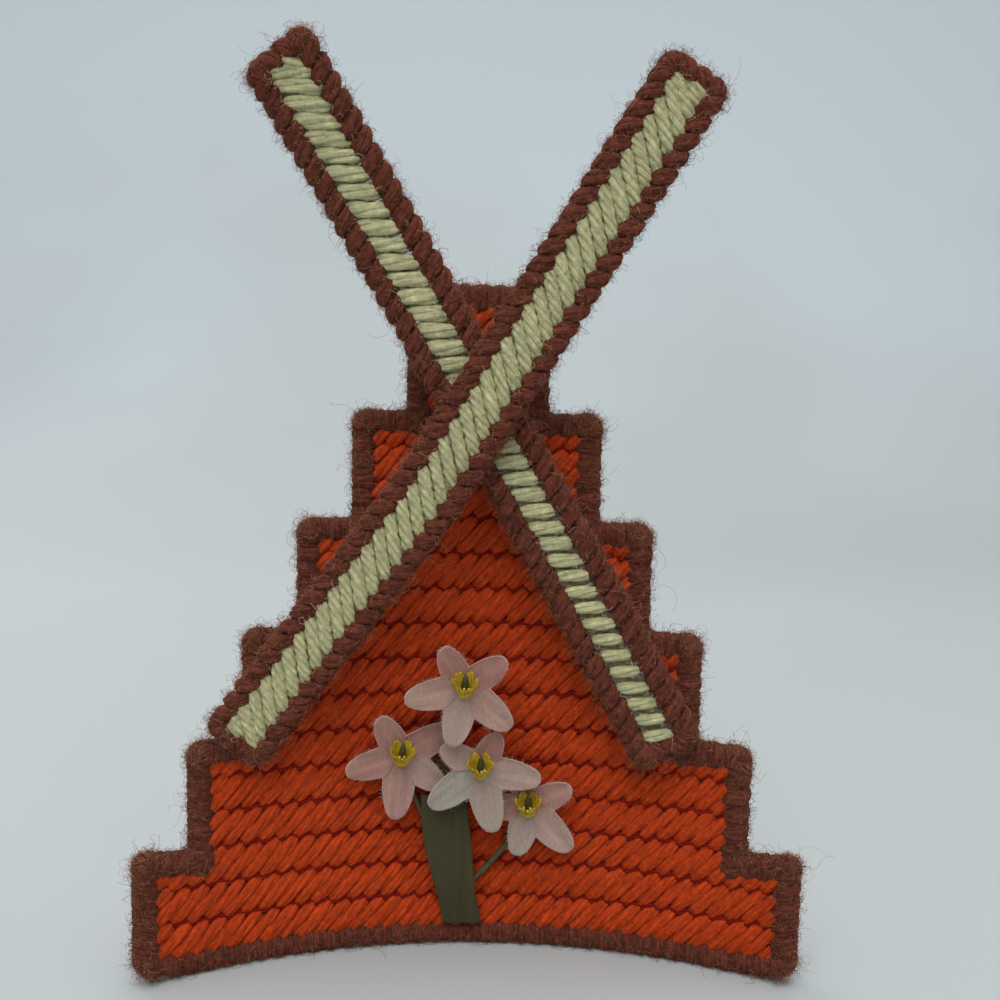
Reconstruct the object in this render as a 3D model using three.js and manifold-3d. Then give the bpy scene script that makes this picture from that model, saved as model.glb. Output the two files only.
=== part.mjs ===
// Plastic canvas windmill: a stepped tower panel worked in yarn and bent to stand by itself,
// two crossed sails and a spray of artificial flowers.
// Millimetres, +Z up. The worked face looks along -Y, and the origin is on the table under the
// middle of the base.
import * as THREE from 'three';
import { mergeVertices } from 'three/addons/utils/BufferGeometryUtils.js';
import Module from 'manifold-3d';

const wasm = await Module();
wasm.setup();

// Canvas
const INCH = 25.4;
const MESHES_PER_INCH = 7;
const HOLE_PITCH = INCH / MESHES_PER_INCH;
const CANVAS_THICKNESS = 1.4;
const CANVAS_BAR = 1.2;

// Tower panel, counted in holes
const BASE_HOLES = 37;
const TIER_COUNT = 6;
const TIER_ROWS = 6;
const TOP_TIER_ROWS = 7;
const STEP_HOLES = 3;
const BEND_RADIUS = 119;

// Yarn
const COURSE_ROWS = 2;
const COURSE_LEAN = 2;
const STITCH_LOFT = 1.5;
const BACK_STITCH_LOFT = 1.2;
const STITCH_GAP = 0.25;
const STITCH_VALLEY = 0.45;
const SEAT_GAP = 0.2;
const EDGE_REACH = 1.75;
const EDGE_LOFT = 1.7;
const TOWER_EDGE_COVER = 3.3;
const SAIL_EDGE_COVER = 2.4;
const EDGE_LIP = 0.5;
const EDGE_CROWN = 0.3;
const EDGE_DIP = 0.3;
const SLOT_EASE = 0.08;
const EDGE_CORNER = 0.75;
const FOOT_HALF = 1;
const FLAT_EVERY = 6;
const BASE_EVERY = 4;

// Sails: straps of the same canvas, counted in holes
const SAIL_HOLES = 3;
const SAIL_ROWS = 42;
const REAR_SAIL = {
  footX: 38.4,
  footZ: 46.3,
  lean: -0.505,
  swing: -0.00035,
  tilt: -0.108,
  curl: 0.00248,
  slantRows: 1,
};
const FRONT_SAIL = {
  footX: -46.1,
  footZ: 47.5,
  lean: 0.633,
  kink: -0.087,
  kinkRow: 17,
  curl: 0.00005,
  slantRows: 2,
};

// Flowers: where each centre lies on the tower's face, how far it stands off, and its petals
// as [turn in degrees from the right, length]
const PETAL_WIDTH = 5.8;
const PETAL_THICKNESS = 0.4;
const PETAL_CUPPING = 1.6;
const PETAL_FOLD_SHARE = 0.25;
// How far along a petal each section lies, and its share of the petal's width
const PETAL_SECTIONS = [[0, 0.3], [0.2, 0.75], [0.42, 1], [0.75, 0.75], [0.93, 0.4], [1, 0.1]];
const COROLLA_EYE = 1.9;
const EYE_THICKNESS = 0.56;
const ROUND_SIDES = 10;
const CUP_RADIUS = 2.4;
const CUP_FOOT_SHARE = 0.5;
const CUP_HEIGHT = 2.2;
const CUP_WALL = 0.45;
const PISTIL_LENGTH = 2.8;
const PISTIL_RADIUS = 0.45;
const PISTIL_TIP_RADIUS = 0.7;
const PISTIL_WAIST_SHARE = 0.6;
const PISTIL_TIP_SHARE = 0.75;
const PISTIL_SIDES = 8;
const STEM_DIAMETER = 1.1;
const STEM_NECK = 1.4;
const STEM_SIDES = 5;
const STEM_STEPS = 9;
const LEAF_THICKNESS = 0.4;
const LEAF_SAG_SHARE = 0.06;
const FLOWERS = [
  {
    name: 'upper',
    across: -2.1,
    height: 57.9,
    standoff: 11.4,
    petals: [[37, 10.2], [118, 9.6], [191, 12], [259, 11.8], [320, 12.2]],
    stem: [[-7.0, 50.5, 6.2], [-8.8, 44, 4.4], [-5.4, 38.6, 3.9], [-4.6, 35, 3.7], [-4.4, 30, 3.7]],
  },
  {
    name: 'left',
    across: -15.1,
    height: 42.4,
    standoff: 6.0,
    petals: [[37, 11.1], [118, 9.8], [193, 11.5], [265, 12.8], [337, 10.6]],
    stem: [[-13.6, 37.5, 4.3], [-11.9, 33.1, 3.9], [-10.2, 29.5, 3.7], [-8.4, 25, 3.7]],
  },
  {
    name: 'middle',
    across: 1.8,
    height: 40.5,
    standoff: 8.8,
    petals: [[-8, 12.4], [66, 8.7], [151, 9], [217, 12.6], [283, 13.1]],
    stem: [[1.0, 37, 5.2], [-0.6, 34, 3.8], [-1.4, 30, 3.7], [-1.9, 26, 3.7]],
  },
  {
    name: 'right',
    across: 12.4,
    height: 31.9,
    standoff: 6.0,
    petals: [[29, 10], [100, 9], [180, 9.5], [258, 10.3], [317, 12.4]],
    stem: [[10.6, 27.5, 4.3], [8.7, 24.3, 3.9], [4.6, 19, 3.7], [0.2, 14.6, 3.7]],
  },
];
// Leaf ribbon: height, middle across, half width and standoff, from the cut end up
const LEAF = [
  [5.4, -1.2, 4.1, 3.0],
  [10.0, -2.2, 4.1, 4.2],
  [13.5, -2.9, 4.2, 5.2],
  [18.0, -3.8, 4.7, 5.4],
  [23.0, -4.7, 5.1, 5.4],
  [28.5, -5.4, 5.1, 5.4],
  [34.0, -5.8, 4.9, 5.4],
];

// Glue: bead radii, where the bouquet's bead lies, and how high the leaf stands over it
const BEAD_SIDES = 8;
const BEAD_BANDS = 5;
const SAIL_BEAD_RADIUS = 3;
const HUB_BEAD_RADIUS = 3.6;
const BOUQUET_BEAD = { radius: 2.2, across: -5.6, height: 17, leafStandoff: 5.4 };
const SAIL_SEAT_GAP = 0.3;
const SAIL_PASS_GAP = 0.6;
const FRONT_FOOT_LIFT = 0.6;
const TILT_LIMITS = [-0.2, 0.3];
const TILT_HALVINGS = 20;
const KINK_SOFTNESS = 0.8;
const SHEET_STEP = 1.6;
const SAIL_SHEET_STEP = 3;

// Sizes that follow from those above
const HALF_CANVAS = CANVAS_THICKNESS / 2;
const STITCH_BASE = HALF_CANVAS + SEAT_GAP;
const STITCH_FACE = STITCH_BASE + STITCH_LOFT;
const EDGE_HALF = HALF_CANVAS + EDGE_LOFT;
const SAIL_HALF_WIDTH = (SAIL_HOLES * HOLE_PITCH) / 2;
const SAIL_LENGTH = SAIL_ROWS * HOLE_PITCH;

const finish = (name, color, roughness) =>
  new THREE.MeshStandardMaterial({ name, color, roughness, metalness: 0 });
const orangeYarn = finish('orange_yarn', '#d8430f', 0.95);
const brownYarn = finish('brown_yarn', '#5e2a1e', 0.95);
const creamYarn = finish('cream_yarn', '#c3c394', 0.95);
const canvasPlastic = finish('canvas', '#dedad3', 0.4);
const glue = finish('glue', '#e4e2d8', 0.25);
const petalCloth = finish('petal', '#e6c9c8', 0.8);
const cupCloth = finish('cup', '#c9b01c', 0.7);
const greenPlastic = finish('stem', '#4b5a2a', 0.6);
const leafCloth = finish('leaf', '#3f4a22', 0.8);

// Closed bodies

// A body through rings of points, each ring going round the same way, with a fan over each end.
function loft(rings) {
  const around = rings[0].length;
  const positions = rings.flat().flatMap((point) => point.toArray());
  const indices = [];
  for (let ring = 0; ring + 1 < rings.length; ring += 1) {
    for (let i = 0; i < around; i += 1) {
      const a = ring * around + i;
      const b = ring * around + ((i + 1) % around);
      indices.push(a, b, b + around, a, b + around, a + around);
    }
  }
  const last = (rings.length - 1) * around;
  for (let i = 1; i + 1 < around; i += 1) {
    indices.push(0, i + 1, i, last, last + i, last + i + 1);
  }
  return facingOut(positions, indices);
}

// A body between lines that run side by side from one end to the other and close round it.
// A line is a list of { at, point }, in order of at. firstCap and lastCap list the triangles
// that close each end, by line.
function skin(lines, firstCap = [], lastCap = firstCap) {
  const positions = lines.flatMap((line) => line.flatMap(({ point }) => point.toArray()));
  const starts = lines.map((line, i) => lines.slice(0, i).reduce((sum, { length }) => sum + length, 0));
  const indices = [];
  lines.forEach((line, i) => {
    const j = (i + 1) % lines.length;
    const next = lines[j];
    let [a, b] = [0, 0];
    while (a + 1 < line.length || b + 1 < next.length) {
      const [here, there] = [starts[i] + a, starts[j] + b];
      const isOurs = (line[a + 1]?.at ?? Infinity) <= (next[b + 1]?.at ?? Infinity);
      indices.push(here, isOurs ? here + 1 : there + 1, there);
      if (isOurs) a += 1;
      else b += 1;
    }
  });
  const last = starts.map((start, i) => start + lines[i].length - 1);
  for (const [a, b, c] of firstCap) indices.push(starts[a], starts[b], starts[c]);
  for (const [a, b, c] of lastCap) indices.push(last[a], last[c], last[b]);
  return facingOut(positions, indices);
}

// A sheet of grid cells, where filled(column, row) says which cells hold material.
function sheet(columns, rows, filled, place, back, front) {
  const across = columns.length;
  const layer = across * rows.length;
  const positions = [back, front].flatMap((depth) =>
    rows.flatMap((row) => columns.flatMap((column) => place(column, row, depth).toArray())));
  const indices = [];
  const quad = (a, b, c, d) => indices.push(a, b, c, a, c, d);
  const holds = (i, j) => i >= 0 && j >= 0 && i + 1 < across && j + 1 < rows.length && filled(i, j);
  for (let j = 0; j + 1 < rows.length; j += 1) {
    for (let i = 0; i + 1 < across; i += 1) {
      if (holds(i, j)) {
        const a = j * across + i;
        const [b, c, d] = [a + 1, a + across + 1, a + across];
        quad(a + layer, b + layer, c + layer, d + layer);
        quad(a, d, c, b);
        if (!holds(i, j - 1)) quad(a, b, b + layer, a + layer);
        if (!holds(i + 1, j)) quad(b, c, c + layer, b + layer);
        if (!holds(i, j + 1)) quad(c, d, d + layer, c + layer);
        if (!holds(i - 1, j)) quad(d, a, a + layer, d + layer);
      }
    }
  }
  return facingOut(positions, indices);
}

function facingOut(positions, indices) {
  const geometry = new THREE.BufferGeometry();
  geometry.setAttribute('position', new THREE.Float32BufferAttribute(positions, 3));
  const corner = (i) => new THREE.Vector3().fromArray(positions, 3 * indices[i]);
  let volume = 0;
  for (let i = 0; i < indices.length; i += 3) {
    volume += corner(i).dot(corner(i + 1).cross(corner(i + 2)));
  }
  geometry.setIndex(volume < 0 ? indices.reverse() : indices);
  return weld(geometry);
}

// Merges the corners that coincide and drops the triangles that this closes up.
function weld(geometry) {
  const bare = geometry.clone();
  bare.deleteAttribute('normal');
  bare.deleteAttribute('uv');
  const welded = mergeVertices(bare, 1e-4);
  const corners = Array.from(welded.getIndex().array);
  const kept = [];
  for (let i = 0; i < corners.length; i += 3) {
    const [a, b, c] = corners.slice(i, i + 3);
    if (a !== b && b !== c && c !== a) kept.push(a, b, c);
  }
  welded.setIndex(kept);
  return welded;
}

function toSolid(geometry) {
  const welded = weld(geometry);
  const vertProperties = new Float32Array(welded.getAttribute('position').array);
  const triVerts = new Uint32Array(welded.getIndex().array);
  return new wasm.Manifold(new wasm.Mesh({ numProp: 3, vertProperties, triVerts }));
}

function toGeometry(solid) {
  const { vertProperties, triVerts } = solid.getMesh();
  const geometry = new THREE.BufferGeometry();
  geometry.setAttribute('position', new THREE.BufferAttribute(new Float32Array(vertProperties), 3));
  geometry.setIndex(new THREE.BufferAttribute(new Uint32Array(triVerts), 1));
  return geometry;
}

const join = (geometries) => geometries.map(toSolid).reduce((whole, next) => whole.add(next));

function steps(from, to, longest) {
  const count = Math.max(1, Math.ceil((to - from) / longest - 1e-6));
  return Array.from({ length: count + 1 }, (_, i) => from + ((to - from) * i) / count);
}

// Tower panel

const tierHoles = (tier) => BASE_HOLES - 2 * STEP_HOLES * tier;
const tierHalf = (tier) => (tierHoles(tier) * HOLE_PITCH) / 2;
const tierFoot = (tier) => tier * TIER_ROWS * HOLE_PITCH;
const towerRows = (TIER_COUNT - 1) * TIER_ROWS + TOP_TIER_ROWS;
const tierHead = (tier) => (tier + 1 < TIER_COUNT ? tierFoot(tier + 1) : towerRows * HOLE_PITCH);
const tiers = Array.from({ length: TIER_COUNT }, (_, tier) => tier);

// across and up run over the panel from the middle of its bottom bar, out towards the viewer
function tower(across, up, out) {
  const turn = across / BEND_RADIUS;
  const radius = BEND_RADIUS - out;
  return new THREE.Vector3(radius * Math.sin(turn), radius * Math.cos(turn) - BEND_RADIUS, up + EDGE_REACH);
}

function towerSheet(margin) {
  const edge = CANVAS_BAR / 2 + margin;
  const sides = tiers.map((tier) => tierHalf(tier) + edge);
  const corners = [...sides.map((side) => -side), ...sides.reverse()];
  const columns = corners.slice(0, -1).flatMap((corner, i) =>
    steps(corner, corners[i + 1], SHEET_STEP * HOLE_PITCH).slice(0, -1)).concat(corners.at(-1));
  const rows = [-edge, ...tiers.map((tier) => tierHead(tier) + edge)];
  const inTier = (i, tier) => Math.abs(columns[i] + columns[i + 1]) / 2 < tierHalf(tier) + edge;
  return sheet(columns, rows, inTier, tower, -HALF_CANVAS - margin, HALF_CANVAS + margin);
}

// Stitches

// A course of stitches as one ribbed band, a rib for each stitch. place takes a length along
// the course, one across it and a height off the canvas. The first stitch's low end is centred
// at first, each high end lies shift further along than its low end, and nothing passes limits.
function course({ place, first, count, low, high, shift, limits, base, face }) {
  const valley = base + (face - base) * STITCH_VALLEY;
  const half = HOLE_PITCH / 2;
  const line = (every, across, offset, isFace) => {
    const places = Math.floor((2 * count) / every) + 1;
    return Array.from({ length: places }, (_, i) => {
      const at = i * every;
      const along = first + offset + (at - 1) * half;
      const kept = Math.max(limits[0], Math.min(limits[1], along));
      const isCrown = at % 2 === 1 && kept === along;
      const top = isCrown ? face : valley;
      return { at, point: place(kept, across, isFace ? top : base) };
    });
  };
  return skin([
    line(BASE_EVERY, low, 0, false),
    line(BASE_EVERY, high, shift, false),
    line(1, high, shift, true),
    line(1, low, 0, true),
  ], [[0, 1, 2], [0, 2, 3]]);
}

const courseCount = (towerRows - 1) / COURSE_ROWS;
const holeAcross = (tier, hole) => (hole - (tierHoles(tier) + 1) / 2) * HOLE_PITCH;
const holeUp = (row) => (row - 0.5) * HOLE_PITCH;
const rowTier = (row) => Math.min(TIER_COUNT - 1, Math.floor((row - 1) / TIER_ROWS));
const innerLimit = (tier) => tierHalf(tier) - TOWER_EDGE_COVER - SEAT_GAP;
const treadLimit = (tier) => tierHead(tier) - TOWER_EDGE_COVER - SEAT_GAP;

// One course of slanting Gobelin stitch, which leans COURSE_LEAN holes over COURSE_ROWS. Where
// it passes a tread, short stitches fill the holes that the next tier leaves outside.
function towerCourse(index) {
  const lowRow = index * COURSE_ROWS + 1;
  const highRow = lowRow + COURSE_ROWS;
  const tier = rowTier(highRow);
  const limit = innerLimit(tier);
  const low = Math.max(holeUp(lowRow) + STITCH_GAP / 2, TOWER_EDGE_COVER + SEAT_GAP);
  const high = Math.min(holeUp(highRow) - STITCH_GAP / 2, treadLimit(TIER_COUNT - 1));
  const band = { place: tower, low, high, base: STITCH_BASE, face: STITCH_FACE };
  const slope = COURSE_LEAN / COURSE_ROWS;
  const main = course({
    ...band,
    first: holeAcross(tier, 1 - COURSE_LEAN) + slope * (low - holeUp(lowRow)),
    count: tierHoles(tier) + 2 * COURSE_LEAN,
    shift: slope * (high - low),
    limits: [-limit, limit],
  });
  const below = rowTier(lowRow);
  if (below === tier) return main;
  const fillers = [[-innerLimit(below), SEAT_GAP - limit], [limit - SEAT_GAP, innerLimit(below)]];
  const tread = treadLimit(below);
  const parts = fillers.map((limits) => course({
    ...band,
    high: tread,
    first: holeAcross(below, 0) + (low - holeUp(lowRow)),
    count: tierHoles(below) + 3,
    shift: tread - low,
    limits,
  }));
  return toGeometry(join([main, ...parts]));
}

// The returns behind the tower run straight up, hole by hole, as high as each tier allows.
function towerBack() {
  const place = (across, up, out) => tower(across, up, -out);
  const parts = tiers.map((tier) => course({
    place,
    first: holeAcross(tier, 1),
    count: tierHoles(tier) + 1,
    low: tier === 0 ? TOWER_EDGE_COVER + SEAT_GAP : treadLimit(tier - 1) - SEAT_GAP,
    high: treadLimit(tier),
    shift: 0,
    limits: [-innerLimit(tier), innerLimit(tier)],
    base: STITCH_BASE,
    face: STITCH_BASE + BACK_STITCH_LOFT,
  }));
  return toGeometry(join(parts));
}

// Overcast edging

// A binding along a path of corners in its canvas's own plane, with a bulge at each hole and a
// slot for the canvas. Outward is to the right of travel, and at(x, y, out) places a point. An
// open path has ends, which say how far the binding runs past its two ends.
function binding({ path, ends, cover, at, isFlat = false }) {
  const corners = ends ? path : [...path, path[0]];
  const runs = corners.slice(0, -1).map(([x, y], i) => {
    const [dx, dy] = [corners[i + 1][0] - x, corners[i + 1][1] - y];
    const length = Math.hypot(dx, dy);
    return { x, y, dx: dx / length, dy: dy / length, length };
  });
  const turnInto = (i) => {
    const [before, after] = [runs[(i + runs.length - 1) % runs.length], runs[i % runs.length]];
    return Math.sign(before.dx * after.dy - before.dy * after.dx);
  };
  const half = HOLE_PITCH / 2;
  const placeOn = (run, along, reach, out) =>
    at(run.x + run.dx * along + run.dy * reach, run.y + run.dy * along - run.dx * reach, out);

  const closeUp = (stations) =>
    (ends ? stations : [...stations.slice(0, -1), { ...stations[0], at: runs.length }]);

  // One line of the section. dips says what the valley between two stitches takes off it.
  const stations = ({ reach, out, every, dips = [0, 0], corner = 1, past = ends }) => (run, i) => {
    const isFirst = ends && i === 0;
    const isLast = i + 1 === runs.length;
    const start = isFirst ? -past[0] : -turnInto(i) * reach;
    const stop = ends && isLast ? run.length + past[1] : run.length + turnInto(i + 1) * reach;
    const inner = steps(0, run.length, half).slice(1, -1)
      .map((along, k) => ({ along, isBulge: k % 2 === 0, isKept: (k + 1) % every === 0 }))
      .filter(({ along, isKept }) => isKept && along > start + half / 2 && along < stop - half / 2)
      .map(({ along, isBulge }) => ({
        at: i + along / run.length,
        point: placeOn(run, along, reach - (isBulge ? 0 : dips[0]), out - (isBulge ? 0 : dips[1])),
      }));
    const share = isFirst ? 1 : corner;
    const turnStart = isFirst ? start : start * share;
    const head = { at: i, point: placeOn(run, turnStart, reach * share - dips[0], out - dips[1]) };
    const tailShare = ends && isLast ? 1 : corner;
    const turnStop = ends && isLast ? stop : run.length + turnInto(i + 1) * reach * tailShare;
    const tail = { at: i + 1, point: placeOn(run, turnStop, reach * tailShare - dips[0], out - dips[1]) };
    return isLast ? [head, ...inner, tail] : [head, ...inner];
  };
  const line = (section) => closeUp(runs.flatMap(stations(section)));

  const slotHalf = HALF_CANVAS + SEAT_GAP + SLOT_EASE;
  const slotFloor = CANVAS_BAR / 2 + SEAT_GAP + SLOT_EASE;
  const lip = (side) => line({ reach: -cover, out: side * (slotHalf + EDGE_LIP), every: FLAT_EVERY });
  const crown = (side) =>
    line({ reach: -EDGE_CROWN, out: side * EDGE_HALF, every: 1, dips: [0, side * EDGE_DIP] });
  const tips = isFlat
    ? [1, -1].map((side) => line({ reach: EDGE_REACH, out: side * FOOT_HALF, every: 2 }))
    : [line({ reach: EDGE_REACH, out: 0, every: 1, dips: [EDGE_DIP, 0], corner: EDGE_CORNER })];
  const slotPast = ends && ends.map((end) => Math.min(end, slotFloor));
  const slot = [-1, 1].map((side) =>
    line({ reach: slotFloor, out: side * slotHalf, every: FLAT_EVERY, past: slotPast }));
  const lines = [lip(1), crown(1), ...tips, crown(-1), lip(-1), ...slot];
  if (!ends) return skin(lines);

  const [lipFront, crownFront, tip] = [0, 1, 2];
  const tipBack = tip + tips.length - 1;
  const [crownBack, lipBack, slotBack, slotFront] = [1, 2, 3, 4].map((step) => tipBack + step);
  const sole = tipBack > tip ? [[tip, tipBack]] : [];
  const capOpen = [[lipFront, crownFront, slotFront], [crownFront, tip, slotFront],
    ...sole.map(([a, b]) => [a, b, slotFront]),
    [tipBack, slotBack, slotFront], [tipBack, crownBack, slotBack], [crownBack, lipBack, slotBack]];
  const capShut = [[lipFront, crownFront, tip], ...sole.map(([a, b]) => [lipFront, a, b]),
    [lipFront, tipBack, crownBack], [lipFront, crownBack, lipBack],
    [lipFront, lipBack, slotBack], [lipFront, slotBack, slotFront]];
  const [firstCap, lastCap] = ends.map((end) => (end > 0 ? capShut : capOpen));
  return skin(lines, firstCap, lastCap);
}

function baseEdging() {
  const half = tierHalf(0);
  const ends = [EDGE_REACH, EDGE_REACH];
  return binding({ path: [[-half, 0], [half, 0]], ends, cover: TOWER_EDGE_COVER, at: tower, isFlat: true });
}

function topEdging() {
  const half = tierHalf(TIER_COUNT - 1);
  const head = tierHead(TIER_COUNT - 1);
  const ends = [EDGE_REACH, EDGE_REACH];
  return binding({ path: [[half, head], [-half, head]], ends, cover: TOWER_EDGE_COVER, at: tower });
}

// One side's edging climbs the tiers: up each side and in along each tread.
function sideEdging(side) {
  const path = tiers.flatMap((tier) =>
    [tierFoot(tier), tierHead(tier)].map((height) => [tierHalf(tier), height]));
  const end = -TOWER_EDGE_COVER - SEAT_GAP;
  const at = (across, up, out) => tower(side * across, up, out);
  return binding({ path, ends: [end, end], cover: TOWER_EDGE_COVER, at });
}

// Sails

const smooth = (x) => 1 / (1 + Math.exp(-x));

// A sail's middle line climbs from its foot. Its lean turns it sideways in the panel's plane,
// and its tilt and curl bring its head towards the viewer.
function sailPlace(sail) {
  const kinkAt = (sail.kinkRow ?? 0) * HOLE_PITCH;
  const leanAt = (along) => sail.lean + (sail.swing ?? 0) * along
    + (sail.kink ?? 0) * smooth((along - kinkAt) / (HOLE_PITCH * KINK_SOFTNESS));
  const tiltAt = (along) => sail.tilt + sail.curl * along;
  const step = HOLE_PITCH / 4;
  const heading = (along) => new THREE.Vector3(
    Math.cos(tiltAt(along)) * Math.sin(leanAt(along)),
    -Math.sin(tiltAt(along)),
    Math.cos(tiltAt(along)) * Math.cos(leanAt(along)),
  );
  const line = [new THREE.Vector3(sail.footX, sail.footY, sail.footZ)];
  for (let i = 0; i * step < SAIL_LENGTH + HOLE_PITCH; i += 1) {
    line.push(line[i].clone().addScaledVector(heading((i + 0.5) * step), step));
  }
  return (along, across, out) => {
    const i = Math.max(0, Math.min(line.length - 2, Math.floor(along / step)));
    const lean = leanAt(along);
    const right = new THREE.Vector3(Math.cos(lean), 0, -Math.sin(lean));
    const facing = right.clone().cross(heading(along));
    return line[i].clone().lerp(line[i + 1], along / step - i)
      .addScaledVector(right, across).addScaledVector(facing, out);
  };
}

// Where the middle lines of two sails cross, seen from the front. The search narrows in steps.
function crossing(placeA, placeB, middles = [SAIL_LENGTH / 2, SAIL_LENGTH / 2], reach = SAIL_LENGTH / 2) {
  const [near, far] = middles.map((middle) => steps(middle - reach, middle + reach, reach / 8));
  let best = { gap: Infinity };
  for (const a of near) {
    for (const b of far) {
      const [p, q] = [placeA(a, 0, 0), placeB(b, 0, 0)];
      const gap = Math.hypot(p.x - q.x, p.z - q.z);
      if (gap < best.gap) best = { gap, a, b, depth: p.y - q.y };
    }
  }
  return reach < 0.1 ? best : crossing(placeA, placeB, [best.a, best.b], reach / 4);
}

// Each sail's foot rests on the tower's edging at one corner.
const footCorner = SAIL_HALF_WIDTH + EDGE_REACH;
function seatFoot(sail, side) {
  const cornerX = sail.footX + side * footCorner * Math.cos(sail.lean);
  const turn = Math.asin(Math.abs(cornerX) / (BEND_RADIUS - EDGE_HALF));
  const clamped = Math.min(turn, (tierHalf(2) + EDGE_REACH / 2) / BEND_RADIUS);
  const seat = (BEND_RADIUS - EDGE_HALF) * Math.cos(clamped) - BEND_RADIUS;
  return seat - SAIL_SEAT_GAP - EDGE_HALF;
}
REAR_SAIL.footY = seatFoot(REAR_SAIL, 1);
FRONT_SAIL.footY = seatFoot(FRONT_SAIL, -1) - FRONT_FOOT_LIFT;
const rearPlace = sailPlace(REAR_SAIL);

// The front sail's tilt is what lets it just pass over the rear one.
let [tiltLow, tiltHigh] = TILT_LIMITS;
for (let i = 0; i < TILT_HALVINGS; i += 1) {
  FRONT_SAIL.tilt = (tiltLow + tiltHigh) / 2;
  const { depth } = crossing(rearPlace, sailPlace(FRONT_SAIL));
  if (depth > 2 * EDGE_HALF + SAIL_PASS_GAP) tiltHigh = FRONT_SAIL.tilt;
  else tiltLow = FRONT_SAIL.tilt;
}
const frontPlace = sailPlace(FRONT_SAIL);

function sailSheet(place, margin) {
  const edge = CANVAS_BAR / 2 + margin;
  const rows = steps(-edge, SAIL_LENGTH + edge, SAIL_SHEET_STEP * HOLE_PITCH);
  const columns = [-SAIL_HALF_WIDTH - edge, SAIL_HALF_WIDTH + edge];
  const at = (across, along, out) => place(along, across, out);
  return sheet(columns, rows, () => true, at, -HALF_CANVAS - margin, HALF_CANVAS + margin);
}

function sailStitches(place, slantRows) {
  const edge = SAIL_HALF_WIDTH - SAIL_EDGE_COVER - SEAT_GAP;
  const slope = slantRows / (SAIL_HOLES - 1);
  return course({
    place,
    first: slope * edge,
    count: SAIL_ROWS + 1,
    low: -edge,
    high: edge,
    shift: -2 * slope * edge,
    limits: [SAIL_EDGE_COVER + SEAT_GAP, SAIL_LENGTH - SAIL_EDGE_COVER - SEAT_GAP],
    base: STITCH_BASE,
    face: STITCH_FACE,
  });
}

function sailBack(place) {
  const edge = SAIL_HALF_WIDTH - SAIL_EDGE_COVER - SEAT_GAP;
  const ends = [SAIL_EDGE_COVER + SEAT_GAP, SAIL_LENGTH - SAIL_EDGE_COVER - SEAT_GAP];
  const at = (across, along, out) => place(along, across, out);
  const back = -HALF_CANVAS - SEAT_GAP - BACK_STITCH_LOFT;
  const rows = steps(...ends, SAIL_SHEET_STEP * HOLE_PITCH);
  return sheet([-edge, edge], rows, () => true, at, back, -STITCH_BASE);
}

function sailEdging(place) {
  const half = SAIL_HALF_WIDTH;
  const path = [[half, 0], [half, SAIL_LENGTH], [-half, SAIL_LENGTH], [-half, 0]];
  return binding({ path, cover: SAIL_EDGE_COVER, at: (across, along, out) => place(along, across, out) });
}

// Glue and flowers

// A set bead of glue that fills the space between two places, squeezed flat square to facing.
function glueBead(from, to, radius, facing = to.clone().sub(from)) {
  const bead = new THREE.SphereGeometry(1, BEAD_SIDES, BEAD_BANDS);
  const middle = from.clone().lerp(to, 0.5);
  const thick = from.distanceTo(to) / 2;
  const upright = new THREE.Vector3(0, 1, 0);
  const turn = new THREE.Quaternion().setFromUnitVectors(upright, facing.clone().normalize());
  const size = new THREE.Vector3(radius, thick, radius);
  return weld(bead.applyMatrix4(new THREE.Matrix4().compose(middle, turn, size)));
}

// Lays a flower on the tower's face: its own +Z looks out of the face, and its +Y up.
function onTower(across, height, standoff) {
  const turn = across / BEND_RADIUS;
  const right = new THREE.Vector3(Math.cos(turn), -Math.sin(turn), 0);
  const out = new THREE.Vector3(-Math.sin(turn), -Math.cos(turn), 0);
  const basis = new THREE.Matrix4().makeBasis(right, new THREE.Vector3(0, 0, 1), out);
  return basis.setPosition(tower(across, height - EDGE_REACH, standoff));
}

function petal(turn, length) {
  const direction = THREE.MathUtils.degToRad(turn);
  const rings = PETAL_SECTIONS.map(([part, share]) => {
    const along = part * length;
    const half = (PETAL_WIDTH / 2) * share;
    const rise = PETAL_CUPPING * part * part;
    const fold = PETAL_FOLD_SHARE * half;
    const point = (sideways, out) => new THREE.Vector3(
      along * Math.cos(direction) - sideways * Math.sin(direction),
      along * Math.sin(direction) + sideways * Math.cos(direction),
      rise + out,
    );
    return [
      point(-half, fold),
      point(0, -PETAL_THICKNESS / 2),
      point(half, fold),
      point(0, PETAL_THICKNESS / 2),
    ];
  });
  return loft(rings);
}

function corolla(flower) {
  const eye = new THREE.CylinderGeometry(COROLLA_EYE, COROLLA_EYE, EYE_THICKNESS, ROUND_SIDES);
  eye.rotateX(Math.PI / 2);
  const parts = [weld(eye), ...flower.petals.map(([turn, length]) => petal(turn, length))];
  return toGeometry(join(parts));
}

function cup() {
  const foot = CUP_RADIUS * CUP_FOOT_SHARE;
  const profile = [[0, 0], [foot, 0], [CUP_RADIUS, CUP_HEIGHT], [CUP_RADIUS - CUP_WALL, CUP_HEIGHT],
    [foot - CUP_WALL / 4, CUP_WALL], [0, CUP_WALL]];
  const turned = new THREE.LatheGeometry(profile.map(([r, y]) => new THREE.Vector2(r, y)), ROUND_SIDES);
  return weld(turned.rotateX(Math.PI / 2));
}

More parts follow.
